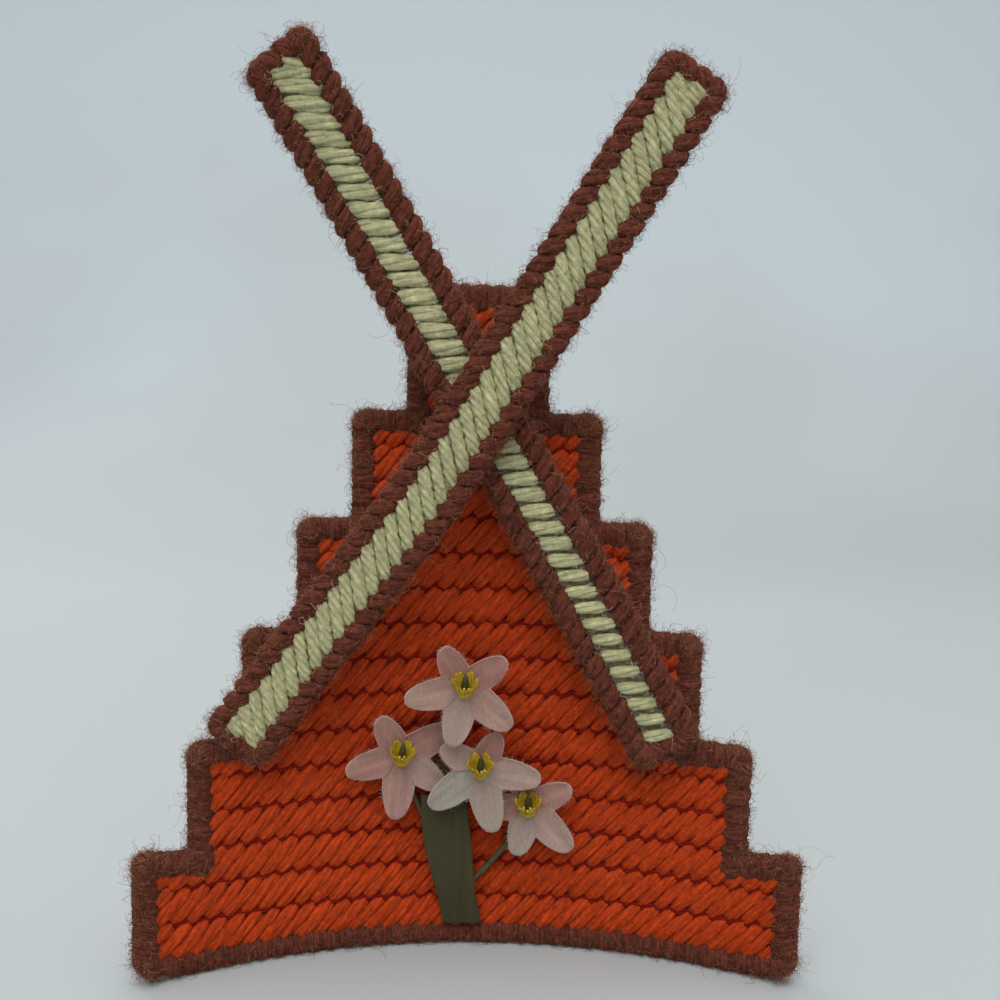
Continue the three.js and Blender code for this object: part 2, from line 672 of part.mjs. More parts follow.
function pistil() {
  const profile = [[0, 0], [PISTIL_RADIUS, 0], [PISTIL_RADIUS, PISTIL_LENGTH * PISTIL_WAIST_SHARE],
    [PISTIL_TIP_RADIUS, PISTIL_LENGTH * PISTIL_TIP_SHARE], [PISTIL_RADIUS, PISTIL_LENGTH],
    [0, PISTIL_LENGTH]];
  const turned = new THREE.LatheGeometry(profile.map(([r, y]) => new THREE.Vector2(r, y)), PISTIL_SIDES);
  return weld(turned.rotateX(Math.PI / 2));
}

function stem(flower) {
  const top = flower.standoff - EYE_THICKNESS / 2 - SEAT_GAP;
  const neck = [top, top - STEM_NECK].map((standoff) => [flower.across, flower.height, standoff]);
  const points = [...neck, ...flower.stem].map(([across, height, standoff]) =>
    tower(across, height - EDGE_REACH, standoff));
  const route = new THREE.CatmullRomCurve3(points);
  const section = new THREE.Shape();
  for (let i = 0; i < STEM_SIDES; i += 1) {
    const turn = (i * 2 * Math.PI) / STEM_SIDES;
    const corner = [Math.cos(turn) * STEM_DIAMETER / 2, Math.sin(turn) * STEM_DIAMETER / 2];
    if (i === 0) section.moveTo(...corner);
    else section.lineTo(...corner);
  }
  const sweep = { steps: STEM_STEPS, extrudePath: route, bevelEnabled: false };
  return weld(new THREE.ExtrudeGeometry(section, sweep));
}

function leaf() {
  const rings = LEAF.map(([height, middle, half, standoff]) => {
    const point = (sideways, out) => tower(middle + sideways, height - EDGE_REACH, standoff + out);
    const sag = half * LEAF_SAG_SHARE;
    return [
      point(-half, -sag),
      point(0, 0),
      point(half, -sag),
      point(half, LEAF_THICKNESS - sag),
      point(0, LEAF_THICKNESS),
      point(-half, LEAF_THICKNESS - sag),
    ];
  });
  return loft(rings);
}

// Assembly

const windmill = new THREE.Group();

function add(name, geometry, material, matrix) {
  const mesh = new THREE.Mesh(geometry, material);
  mesh.name = name;
  if (matrix) mesh.applyMatrix4(matrix);
  windmill.add(mesh);
}

add('tower_canvas', towerSheet(0), canvasPlastic);
for (let index = 0; index < courseCount; index += 1) {
  add(`tower_stitches_${String(index + 1).padStart(2, '0')}`, towerCourse(index), orangeYarn);
}
add('tower_back_stitches', towerBack(), orangeYarn);
add('base_edging', baseEdging(), brownYarn);
add('left_edging', sideEdging(-1), brownYarn);
add('right_edging', sideEdging(1), brownYarn);
add('top_edging', topEdging(), brownYarn);

const sails = [['rear_sail', REAR_SAIL, rearPlace], ['front_sail', FRONT_SAIL, frontPlace]];
for (const [name, sail, place] of sails) {
  add(`${name}_canvas`, sailSheet(place, 0), canvasPlastic);
  add(`${name}_stitches`, sailStitches(place, sail.slantRows), creamYarn);
  add(`${name}_back_stitches`, sailBack(place), creamYarn);
  add(`${name}_edging`, sailEdging(place), brownYarn);
}

const towerFace = STITCH_FACE + SEAT_GAP;
const sailBackFace = -EDGE_HALF - SEAT_GAP;
const behindRear = rearPlace(HOLE_PITCH, 0, sailBackFace);
const behindFront = frontPlace(HOLE_PITCH, 0, sailBackFace);
for (const [name, place] of [['rear_sail_glue', behindRear], ['front_sail_glue', behindFront]]) {
  const turn = Math.asin(place.x / (BEND_RADIUS - towerFace));
  const seat = tower(turn * BEND_RADIUS, place.z - EDGE_REACH, towerFace);
  add(name, glueBead(seat, place, SAIL_BEAD_RADIUS), glue);
}

const hub = crossing(rearPlace, frontPlace);
const hubRear = rearPlace(hub.a, 0, STITCH_FACE + SEAT_GAP);
const hubFront = frontPlace(hub.b, 0, -STITCH_BASE - BACK_STITCH_LOFT - SEAT_GAP);
const hubFacing = rearPlace(hub.a, 0, 1).sub(rearPlace(hub.a, 0, 0))
  .add(frontPlace(hub.b, 0, 1)).sub(frontPlace(hub.b, 0, 0));
add('hub_glue', glueBead(hubRear, hubFront, HUB_BEAD_RADIUS, hubFacing), glue);

for (const flower of FLOWERS) {
  const seat = onTower(flower.across, flower.height, flower.standoff);
  const lifted = (from, rise) => from.clone().multiply(new THREE.Matrix4().makeTranslation(0, 0, rise));
  const cupSeat = lifted(seat, PETAL_THICKNESS + SEAT_GAP);
  const pistilSeat = lifted(cupSeat, CUP_WALL + SEAT_GAP);
  add(`${flower.name}_corolla`, corolla(flower), petalCloth, seat);
  add(`${flower.name}_cup`, cup(), cupCloth, cupSeat);
  add(`${flower.name}_pistil`, pistil(), greenPlastic, pistilSeat);
  add(`${flower.name}_stem`, stem(flower), greenPlastic);
}
add('leaf', leaf(), leafCloth);
const beadEnds = [towerFace, BOUQUET_BEAD.leafStandoff - 2 * SEAT_GAP].map((standoff) =>
  tower(BOUQUET_BEAD.across, BOUQUET_BEAD.height - EDGE_REACH, standoff));
add('bouquet_glue', glueBead(...beadEnds, BOUQUET_BEAD.radius), glue);

export default windmill;
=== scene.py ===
import math

import bpy
import numpy as np
from mathutils import Matrix, Vector


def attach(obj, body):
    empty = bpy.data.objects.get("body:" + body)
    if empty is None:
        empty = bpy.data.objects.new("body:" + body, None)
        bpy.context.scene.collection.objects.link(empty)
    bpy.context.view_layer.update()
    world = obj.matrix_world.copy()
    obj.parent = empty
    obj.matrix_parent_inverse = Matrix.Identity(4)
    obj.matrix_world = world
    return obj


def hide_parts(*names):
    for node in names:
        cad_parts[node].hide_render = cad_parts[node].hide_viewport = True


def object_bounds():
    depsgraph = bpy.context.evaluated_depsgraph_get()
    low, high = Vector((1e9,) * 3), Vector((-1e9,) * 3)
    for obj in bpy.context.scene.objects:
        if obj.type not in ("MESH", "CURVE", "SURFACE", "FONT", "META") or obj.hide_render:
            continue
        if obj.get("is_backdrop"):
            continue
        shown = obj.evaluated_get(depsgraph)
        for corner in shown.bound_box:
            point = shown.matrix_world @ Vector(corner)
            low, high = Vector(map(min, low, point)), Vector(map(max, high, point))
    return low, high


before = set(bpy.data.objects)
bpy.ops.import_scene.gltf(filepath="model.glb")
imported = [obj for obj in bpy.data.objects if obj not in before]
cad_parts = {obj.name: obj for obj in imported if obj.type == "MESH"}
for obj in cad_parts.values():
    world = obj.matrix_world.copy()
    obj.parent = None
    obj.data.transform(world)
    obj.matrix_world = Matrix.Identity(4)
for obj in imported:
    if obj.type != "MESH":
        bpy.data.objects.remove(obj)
cad_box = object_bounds()
MM = 0.001

# Canvas and tower, as in the part's source
HOLE_PITCH = 25.4 / 7
CANVAS_THICKNESS = 1.4
CANVAS_BAR = 1.2
BASE_HOLES = 37
TIER_COUNT = 6
TIER_ROWS = 6
TOP_TIER_ROWS = 7
STEP_HOLES = 3
BEND_RADIUS = 119
EDGE_REACH = 1.75
SAIL_HOLES = 3
SAIL_ROWS = 42
COURSE_ROWS = 2
INSET = HOLE_PITCH / 2
TOWER_ROWS = (TIER_COUNT - 1) * TIER_ROWS + TOP_TIER_ROWS
SAIL_LENGTH = SAIL_ROWS * HOLE_PITCH

# Yarn
PLIES = 4
STITCH_LEAN = 2
STITCH_RISE = 1.32
STITCH_HALF_WIDTH = 1.42
STITCH_HALF_THICKNESS = 1.05
BACK_RISE = 1.05
BACK_HALF_THICKNESS = 0.98
LOOP_TIP = EDGE_REACH - 0.95
LOOP_HALF_WIDTH = 1.95
LOOP_HALF_THICKNESS = 1.0
LOOP_RISE = 1.42
LOOP_ROWS = 20
LOOP_REACH_POWER = 0.75
LOOP_RISE_POWER = 0.6
LOWEST_FIBRE = 0.12
TURN_LENGTH = 22.0
REAR_TURN_LENGTH = 24.0


# Places on the canvases

CORNER_CURL = 1.4
CORNER_CURL_FROM = 54


def tower(points):
    """Across and up the panel, and out towards the viewer, to the part's frame.

    The lowest tier's corners curl up a little off the table.
    """
    across, up, out = np.moveaxis(np.asarray(points, float), -1, 0)
    turn = across / BEND_RADIUS
    radius = BEND_RADIUS - out
    curl = np.clip((np.abs(across) - CORNER_CURL_FROM) / (tier_half(0) - CORNER_CURL_FROM), 0, 1.2)
    return np.stack([radius * np.sin(turn), radius * np.cos(turn) - BEND_RADIUS,
                     up + EDGE_REACH + CORNER_CURL * curl**2], -1)


def sail_place(node):
    """A sail's own place function, read from its canvas: across, along and out."""
    corners = np.array([v.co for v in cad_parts[node].data.vertices]) / MM
    corners = np.unique(corners.round(3), axis=0)
    middle = corners.mean(0)
    axis = np.linalg.svd(corners - middle, full_matrices=False)[2][0]
    axis *= np.sign(axis[2])
    rows = corners[np.argsort((corners - middle) @ axis)].reshape(-1, 4, 3)
    lines = rows.mean(1)
    heading = unit(np.gradient(lines, axis=0))
    spread = rows - lines[:, None]
    right = np.stack([s[s[:, 0] > 0].mean(0) for s in spread])
    right = unit(right - heading * (right * heading).sum(1, keepdims=True))
    at = np.linspace(-CANVAS_BAR / 2, SAIL_LENGTH + CANVAS_BAR / 2, len(lines))

    def smooth(values, where):
        slopes = np.gradient(values, at, axis=0)
        i = np.clip(np.searchsorted(at, where) - 1, 0, len(at) - 2)
        step = at[i + 1] - at[i]
        t = ((where - at[i]) / step)[..., None]
        step = step[..., None]
        return ((2 * t**3 - 3 * t**2 + 1) * values[i] + (t**3 - 2 * t**2 + t) * step * slopes[i]
                + (3 * t**2 - 2 * t**3) * values[i + 1] + (t**3 - t**2) * step * slopes[i + 1])

    def place(points):
        across, along, out = np.moveaxis(np.asarray(points, float), -1, 0)
        way = smooth(right, along)
        facing = np.cross(way, smooth(heading, along))
        return smooth(lines, along) + across[..., None] * way + out[..., None] * facing

    return place


def tier_holes(tier):
    return BASE_HOLES - 2 * STEP_HOLES * tier


def tier_half(tier):
    return tier_holes(tier) * HOLE_PITCH / 2


def tier_foot(tier):
    return tier * TIER_ROWS * HOLE_PITCH


def tier_head(tier):
    return tier_foot(tier + 1) if tier + 1 < TIER_COUNT else TOWER_ROWS * HOLE_PITCH


def row_tier(row):
    return min(TIER_COUNT - 1, (row - 1) // TIER_ROWS)


# Meshes

def unit(vectors):
    return vectors / np.maximum(np.linalg.norm(vectors, axis=-1, keepdims=True), 1e-9)


def circle(sides):
    return np.linspace(0, 2 * math.pi, sides, endpoint=False)


def seeded(name):
    return np.random.default_rng(sum((i + 1) * ord(c) for i, c in enumerate(name)))


class Strands:
    """Collects tubes and fibres for one mesh, with each point's place along its strand."""

    def __init__(self):
        self.points = []
        self.strand = []
        self.groups = []
        self.count = 0

    def add(self, points, strand, faces, slot):
        self.points.append(points.reshape(-1, 3))
        self.strand.append(strand.reshape(-1, 3))
        for face in faces:
            self.groups.append((face + self.count, slot))
        self.count += points.reshape(-1, 3).shape[0]

    def tubes(self, rings, strand, slot=0, capped=True):
        """rings is tubes x rings x sides x 3."""
        tubes, rows, sides = rings.shape[:3]
        index = np.arange(tubes * rows * sides).reshape(tubes, rows, sides)
        turned = np.roll(index, -1, axis=2)
        quads = np.stack([index[:, :-1], turned[:, :-1], turned[:, 1:], index[:, 1:]], -1)
        faces = [quads.reshape(-1, 4)]
        if capped:
            faces += [index[:, 0, ::-1], index[:, -1]]
        self.add(rings, strand, faces, slot)

    def mesh(self, name, materials):
        points = np.concatenate(self.points) * MM
        mesh = bpy.data.meshes.new(name)
        mesh.vertices.add(len(points))
        mesh.vertices.foreach_set("co", points.astype(np.float32).ravel())
        corners = np.concatenate([faces.ravel() for faces, _ in self.groups])
        sizes = np.concatenate([np.full(len(faces), faces.shape[1]) for faces, _ in self.groups])
        slots = np.concatenate([np.full(len(faces), slot) for faces, slot in self.groups])
        starts = np.concatenate([[0], np.cumsum(sizes)[:-1]])
        mesh.loops.add(len(corners))
        mesh.loops.foreach_set("vertex_index", corners.astype(np.int32))
        mesh.polygons.add(len(sizes))
        mesh.polygons.foreach_set("loop_start", starts.astype(np.int32))
        mesh.polygons.foreach_set("material_index", slots.astype(np.int32))
        mesh.polygons.foreach_set("use_smooth", np.ones(len(sizes), bool))
        strand = mesh.attributes.new("strand", "FLOAT_VECTOR", "POINT")
        strand.data.foreach_set("vector", np.concatenate(self.strand).astype(np.float32).ravel())
        mesh.update(calc_edges=True)
        for material in materials:
            mesh.materials.append(material)
        return mesh


def link(name, mesh):
    piece = bpy.data.objects.new(name, mesh)
    bpy.context.scene.collection.objects.link(piece)
    return piece


def finish_piece(piece, slot, *nodes):
    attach(piece, "root")
    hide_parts(*nodes)


def make_piece(name, strands, materials, slot, node):
    finish_piece(link(name, strands.mesh(name, materials)), slot, node)


# Yarn

def bundle(strands, rng, path, side, normal, width, thick, place, sides=9, is_flat=False,
           turn_length=TURN_LENGTH, groove=0.0, depth=0.0):
    """Four twisted plies round each path. path, side and normal are stitches x rings x 3.

    A flat bundle's plies lie side by side, as where yarn is wrapped tight round an edge. groove,
    from 0 to 1, says how deep the lines between the plies are, and depth how much painted shade
    the whole bundle takes, as though it lay that far below its neighbours; it moves nothing.
    """
    stitches, rows = path.shape[:2]
    leg = np.linalg.norm(np.diff(path, axis=1), axis=-1)
    run = np.concatenate([np.zeros((stitches, 1)), np.cumsum(leg, axis=1)], axis=1)
    along = run[:, None, :]
    start = rng.uniform(0, 2 * math.pi, (stitches, 1, 1))
    rate = 2 * math.pi / (turn_length * rng.uniform(0.8, 1.3, (stitches, 1, 1)))
    ply = np.arange(PLIES)[None, :, None]
    turn = start + ply * 2 * math.pi / PLIES + rate * along
    uneven = rng.uniform(0.9, 1.1, (stitches, PLIES, 1))
    width = np.broadcast_to(width, (stitches, rows))[:, None]
    thick = np.broadcast_to(thick, (stitches, rows))[:, None]
    side, normal = side[:, None], normal[:, None]
    if is_flat:
        lane = (ply - (PLIES - 1) / 2) / ((PLIES - 1) / 2)
        wander = 0.12 * np.sin(0.7 * along + 2.1 * ply + start)
        offset = 0.68 * width * (lane + wander)
        lift = thick * (0.32 - 0.3 * lane**2 + 0.07 * np.sin(1.1 * along + 3.7 * ply))
        spread = 0.47 * width * uneven
        height = 0.33 * thick * (1 + uneven)
    else:
        offset = (0.5 + 0.03 * groove) * width * np.cos(turn)
        lift = (0.36 + 0.09 * groove) * thick * np.sin(turn)
        spread = (0.56 - 0.09 * groove) * width * uneven
        height = (0.64 - 0.09 * groove) * thick * uneven
    centre = path[:, None] + offset[..., None] * side + lift[..., None] * normal
    across = spread[..., None] * np.cos(circle(sides))
    over = height[..., None] * np.sin(circle(sides))
    rings = (centre[..., None, :] + across[..., None] * side[..., None, :]
             + over[..., None] * normal[..., None, :])
    seed = rng.uniform(0, 900, (stitches, PLIES, 1, 1))
    # The level picks painted shade low on the plies; depth lowers it for the whole bundle.
    level = (lift[..., None] + over) / thick[..., None] - depth
    strand = np.stack(np.broadcast_arrays(along[..., None] + seed, across, level), -1)
    rings = place(rings)
    shape = (stitches * PLIES, rows, sides, 3)
    strands.tubes(rings.reshape(shape), strand.reshape(shape))
    return rings, place(path)


def hairs(paths, side, other, radii):
    """Fibres as tubes of three sides. paths is fibres x rings x 3."""
    turn = circle(3)[:, None]
    return paths[:, :, None] + radii * (np.cos(turn) * side + np.sin(turn) * other)


def fuzz(strands, rng, rings, middles, count, length, curl=0.7, radius=0.036, lie=0.7, steps=5,
         outer=0.0, stand=1.0):
    """Loose fibres that leave the outside of a bundle and curl. rings and middles are placed.

    lie says how far they lean along the yarn, and stand how far out of it. outer is the share
    that starts at the outer ends of a coil's loops. Tries that start inside the bundle are
    dropped, so more are made than count.
    """
    tries = 3 * count
    pick = [rng.integers(n, size=tries) for n in rings.shape[:4]]
    at_end = rng.random(tries) < outer
    ends = LOOP_ROWS * (pick[2] // LOOP_ROWS + 0.5 + 0.13 * rng.normal(size=tries))
    ends = np.clip(np.round(ends).astype(int), 0, rings.shape[2] - 1)
    pick[2] = np.where(at_end, ends, pick[2])
    root = rings[tuple(pick)]
    outward = unit(root - middles[pick[0], pick[2]])
    own = unit(root - rings[pick[0], pick[1], pick[2]].mean(1))
    keep = np.flatnonzero((outward * own).sum(-1) > 0.55)[:count]
    ahead = np.minimum(pick[2][keep] + 1, rings.shape[2] - 1)
    behind = np.maximum(pick[2][keep] - 1, 0)
    run = unit(middles[pick[0][keep], ahead] - middles[pick[0][keep], behind])
    root, outward, count = root[keep], outward[keep], len(keep)
    each = (count, 1)
    heading = unit(outward * rng.uniform(0.2, 1.0, each) * stand + lie * run * rng.choice([-1, 1], each)
                   + rng.normal(0, 0.5, (count, 3)))
    curl_axis = unit(rng.normal(0, 1, (count, 3)))
    reach = np.minimum(length * rng.lognormal(0, 0.5, each), 2.8 * length)
    bend = rng.gamma(2.0, curl / 2, each) * rng.choice([-1, 1], each) * (reach / steps / 0.3)
    bend = np.clip(bend, -1.3, 1.3)
    path = [root - 0.1 * outward]
    for _ in range(steps):
        path.append(path[-1] + heading * reach / steps)
        heading = unit(heading * np.cos(bend) + np.cross(curl_axis, heading) * np.sin(bend)
                       + 0.16 * rng.normal(0, 1, (count, 3)))
        curl_axis = unit(curl_axis + 0.3 * rng.normal(0, 1, (count, 3)))
    path = np.stack(path, 1)
    path[..., 2] = np.maximum(path[..., 2], LOWEST_FIBRE)
    along = np.gradient(path, axis=1)
    side = unit(np.cross(along, curl_axis[:, None]))
    other = unit(np.cross(along, side))
    radii = np.linspace(1, 0.5, steps + 1)[None, :, None, None] * radius
    tubes = hairs(path, side[:, :, None], other[:, :, None], radii)
    strand = np.zeros_like(tubes)
    strand[..., 0] = rng.uniform(0, 900, (count, 1, 1))
    strands.tubes(tubes, strand, slot=1, capped=False)


# An edging's loose fibres, nearest first: how many to a loop, and fuzz's choices
FRINGE = {
    "fuzz": (110, {"length": 1.1, "steps": 3, "radius": 0.043, "lie": 0.8, "stand": 1.3}),
    "halo": (80, {"length": 2.1, "steps": 4, "radius": 0.044, "lie": 0.5, "stand": 1.7, "curl": 1.1,
                  "outer": 0.6}),
    "strays": (14, {"length": 4.4, "steps": 10, "curl": 0.8, "outer": 0.6}),
}


def fringe(name, rng, node, rings, middles):
    loops = rings.shape[0] * (rings.shape[2] - 1) / LOOP_ROWS
    for part, (per_loop, choices) in FRINGE.items():
        strands = Strands()
        fuzz(strands, rng, rings, middles, int(per_loop * loops), **choices)
        make_piece(f"{name}_{part}", strands, brown_yarn, "brown_yarn", node)


STITCH_SQUARENESS = 2.9
STITCH_SINK = 0.25
STITCH_JITTER = 0.07


def signed_power(values, power):
    return np.sign(values) * np.abs(values) ** power


def arch(rows):
    """A flat-topped arch: how far along it runs, from -1 to 1, and its height, from 0 to 1."""
    turn = np.linspace(math.pi, 0, rows)
    power = 2 / STITCH_SQUARENESS
    return signed_power(np.cos(turn), power), np.abs(np.sin(turn)) ** power


def stitches(strands, rng, low, high, place, facing=1, rise=STITCH_RISE, half_width=STITCH_HALF_WIDTH,
             half_thick=STITCH_HALF_THICKNESS, tuck=0.18, rows=13, taper=0.22, **options):
    """Straight stitches from the low points to the high points, across and up a canvas.

    tuck is how far short of its holes a stitch ends, and taper how much narrower its ends are.
    """
    count = len(low)
    jitter = rng.normal(0, STITCH_JITTER, (2, count, 2))
    low, high = low + jitter[0], high + jitter[1]
    way = unit(high - low)
    half = np.linalg.norm(high - low, axis=-1, keepdims=True) / 2 - np.reshape(tuck, (-1, 1))
    middle = (low + high) / 2
    along, height = arch(rows)
    lift = rise * rng.uniform(0.92, 1.1, (count, 1))
    flat = middle[:, None] + way[:, None] * (half * along)[..., None]
    path = np.concatenate([flat, (facing * lift * height - STITCH_SINK * facing)[..., None]], -1)
    tangent = unit(np.gradient(path, axis=1))
    side = np.stack([way[:, 1], -way[:, 0], np.zeros(count)], -1)
    side = np.broadcast_to(side[:, None], path.shape)
    normal = np.cross(side, tangent) * facing
    shape = 1 - np.reshape(taper, (-1, 1)) * (1 - np.sqrt(np.clip(1 - np.abs(along) ** 4, 0, 1)))
    width = np.reshape(half_width, (-1, 1)) * rng.uniform(0.92, 1.07, (count, 1)) * shape
    thick = half_thick * rng.uniform(0.93, 1.06, (count, 1)) * (0.8 + 0.2 * shape)
    return bundle(strands, rng, path, side, normal, width, thick, place, **options)


def coil(strands, rng, holes, outward, place, inside, closed=False, lean=0.1, half_width=LOOP_HALF_WIDTH,
         half_thick=LOOP_HALF_THICKNESS, is_flat=True, pinch=0.1, **options):
    """Overcast yarn: one loop through each hole, over the canvas's edge and back to the next.

    outward is the way out of the edge at each hole, as long as the loop's tip is far from it,
    and inside is how far the loops reach past their holes. lean is the share of the step to the
    next hole that the yarn takes on the front.
    """
    loops = len(holes) - 1
    phase = np.tile(np.linspace(0, 1, LOOP_ROWS, endpoint=False), (loops, 1))
    behind = np.clip(2 * phase - 1, 0, 1)
    share = (lean * np.minimum(2 * phase, 1) + (1 - lean) * behind**2 * (3 - 2 * behind))[..., None]
    hole = holes[:-1, None] * (1 - share) + holes[1:, None] * share
    way = outward[:-1, None] * (1 - share) + outward[1:, None] * share
    tip = np.linalg.norm(way, axis=-1)
    way = way / tip[..., None]
    puff = rng.uniform(0.94, 1.07, (loops, 1))
    puff = puff + (np.roll(puff, -1, 0) - puff) * phase
    turn = math.pi - 2 * math.pi * phase
    reach_middle, reach_half = (tip - inside) / 2, (tip + inside) / 2
    reach = reach_middle + reach_half * signed_power(np.cos(turn), LOOP_REACH_POWER) * puff
    height = LOOP_RISE * signed_power(np.sin(turn), LOOP_RISE_POWER) * puff

    def string(plane, out):
        line = np.concatenate([plane, out[..., None]], -1).reshape(1, -1, 3)
        return np.concatenate([line, line[:, :1]], 1) if closed else line

    path = string(hole + way * reach[..., None], height)
    centre = string(hole + way * reach_middle[..., None], 0 * height)
    tangent = unit(np.gradient(path, axis=1))
    normal = unit(path - centre)
    normal = unit(normal - tangent * (normal * tangent).sum(-1, keepdims=True))
    side = np.cross(tangent, normal)
    bead = string(0 * hole, np.abs(np.sin(turn)))[0, :, 2]
    width = half_width * (1 - pinch + pinch * bead) * rng.uniform(0.97, 1.03, path.shape[1])
    return bundle(strands, rng, path, side, normal, width[None], half_thick, place, sides=8,
                  is_flat=is_flat, **options)


# Materials

def srgb(red, green, blue):
    """A colour as it shows on a screen, 0 to 255, to linear light."""
    return tuple(c / 3294.6 if c < 10.3 else ((c / 255 + 0.055) / 1.055) ** 2.4 for c in (red, green, blue))


def shade(color, factor):
    return tuple(min(1, c * factor) for c in color)


def grey(value):
    return (value, value, value)


def opaque(color):
    return (*color, 1)


def set_inputs(tree, node, inputs):
    """Links each input from a socket, or gives it a value."""
    for key, value in inputs.items():
        if isinstance(value, bpy.types.NodeSocket):
            tree.links.new(value, node.inputs[key])
        else:
            node.inputs[key].default_value = value


def add_node(tree, kind, inputs, **settings):
    node = tree.nodes.new(f"ShaderNode{kind}")
    for name, value in settings.items():
        setattr(node, name, value)
    set_inputs(tree, node, inputs)
    return node


def ramp(tree, source, stops):
    node = add_node(tree, "ValToRGB", {0: source})
    elements = node.color_ramp.elements
    while len(elements) < len(stops):
        elements.new(0.5)
    for element, (position, color) in zip(elements, stops):
        element.position = position
        element.color = opaque(color)
    return node.outputs["Color"]


def new_material(name):
    material = bpy.data.materials.new(name)
    material.use_nodes = True
    tree = material.node_tree
    return material, tree, tree.nodes["Principled BSDF"]


def object_place(tree):
    return add_node(tree, "TexCoord", {}).outputs["Object"]


def strand_field(tree):
    return add_node(tree, "Attribute", {}, attribute_name="strand").outputs["Vector"]


def split_vector(tree, vector):
    return add_node(tree, "SeparateXYZ", {0: vector}).outputs


def multiply_add(tree, value, factor, addend):
    return add_node(tree, "Math", {0: value, 1: factor, 2: addend}, operation="MULTIPLY_ADD").outputs[0]


def noise(tree, vector, scale, detail=2.0, roughness=0.5):
    inputs = {"Scale": scale, "Detail": detail, "Roughness": roughness, "Vector": vector}
    return add_node(tree, "TexNoise", inputs).outputs["Fac"]


def mapped(tree, vector, scale):
    return add_node(tree, "Mapping", {"Scale": scale, "Vector": vector}).outputs["Vector"]


def blend_factors(tree, first, second, share):
    return add_node(tree, "Mix", {"Factor": share, 2: first, 3: second}).outputs[0]


def mix_colors(tree, factor, first, second, **settings):
    inputs = {"Factor": factor, "A": first, "B": second}
    return add_node(tree, "Mix", inputs, data_type="RGBA", **settings).outputs["Result"]


def bump(tree, height, strength, distance):
    inputs = {"Strength": strength, "Distance": distance * MM, "Height": height}
    return add_node(tree, "Bump", inputs).outputs["Normal"]


def yarn_material(name, color, deep, sheen, contrast=1.0, gloss=0.12):
    """Fine fibres that run along each ply, uneven in tone, with painted shade low between plies."""
    material, tree, shader = new_material(name)
    strand = strand_field(tree)
    fibres = noise(tree, mapped(tree, strand, (0.3, 4.6, 4.6)), 1.0, 3.0, 0.6)
    threads = noise(tree, mapped(tree, strand, (0.16, 1.5, 1.5)), 1.0)
    tufts = noise(tree, object_place(tree), 900.0, 3.0, 0.6)
    streaks = blend_factors(tree, blend_factors(tree, fibres, threads, 0.4), tufts, 0.35)
    tones = ((0.38, -0.5), (0.47, -0.15), (0.54, 0.15), (0.64, 0.7))
    stops = [(position, shade(color, 1 + change * contrast)) for position, change in tones]
    # Painted shade: low on the plies and between them, the colour is mixed towards a darker, redder one.
    level = multiply_add(tree, split_vector(tree, strand)["Z"], 0.5, 0.5)
    level = ramp(tree, level, [(0.3, grey(0)), (0.68, grey(1))])
    set_inputs(tree, shader, {
        "Base Color": mix_colors(tree, level, opaque(deep), ramp(tree, streaks, stops)),
        "Roughness": 0.85 - gloss,
        "Specular IOR Level": gloss,
        "Sheen Weight": sheen,
        "Sheen Roughness": 0.5,
        "Sheen Tint": opaque(shade(color, 1.6)),
        "Subsurface Weight": 0.25,
        "Subsurface Radius": (1.0, 0.7, 0.5),
        "Subsurface Scale": 1.2 * MM,
        "Normal": bump(tree, streaks, 1.0, 0.9),
    })
    return material


def fibre_material(name, dark, light):
    """Loose fibres, each with a tone of its own at random between a dark colour and a light one, a painted
    highlight for fibres the light shines on or through.
    """
    material, tree, shader = new_material(name)
    tone = noise(tree, strand_field(tree), 3.0)
    set_inputs(tree, shader, {"Base Color": ramp(tree, tone, [(0.38, dark), (0.62, light)]),
                              "Roughness": 0.8, "Specular IOR Level": 0.05})
    return material


def plain_material(name, low, high, scale, roughness, bump_size=0.05, stretch=(1, 1, 1), strength=0.4,
                   **more):
    """A surface whose tone drifts between two colours, with a fine bump."""
    material, tree, shader = new_material(name)
    tone = noise(tree, mapped(tree, object_place(tree), stretch), scale, 3.0)
    set_inputs(tree, shader, {"Base Color": ramp(tree, tone, [(0.3, low), (0.7, high)]),
                              "Roughness": roughness, "Normal": bump(tree, tone, strength, bump_size),
                              **more})
    return material


def petal_material():
    """Thin pressed cloth: off-white, with pink washed over some petals, a weave and pale cut edges."""
    material, tree, shader = new_material("petal_cloth")
    place, field = object_place(tree), strand_field(tree)
    parts = split_vector(tree, field)
    amount = blend_factors(tree, parts["X"], noise(tree, place, 260.0), 0.3)
    wash = ramp(tree, amount, [(0.1, srgb(152, 148, 135)), (0.4, srgb(165, 139, 126)),
                               (0.6, srgb(166, 130, 118)), (0.9, srgb(152, 105, 97))])
    weave = noise(tree, mapped(tree, place, (1, 1, 0.4)), 2600.0)
    folds = noise(tree, mapped(tree, field, (2.0, 0.2, 1.1)), 1.0)
    uneven = blend_factors(tree, weave, folds, 0.5)
    tone = ramp(tree, uneven, [(0.36, grey(0.84)), (0.62, grey(1.08))])
    cloth = mix_colors(tree, 1.0, wash, tone, blend_type="MULTIPLY")
    edge = ramp(tree, parts["Y"], [(0.35, grey(0)), (1.0, grey(0.6))])
    set_inputs(tree, shader, {"Base Color": mix_colors(tree, edge, cloth, opaque(srgb(200, 180, 168))),
                              "Roughness": 0.75, "Specular IOR Level": 0.2,
                              "Normal": bump(tree, uneven, 0.7, 0.5)})
    return material
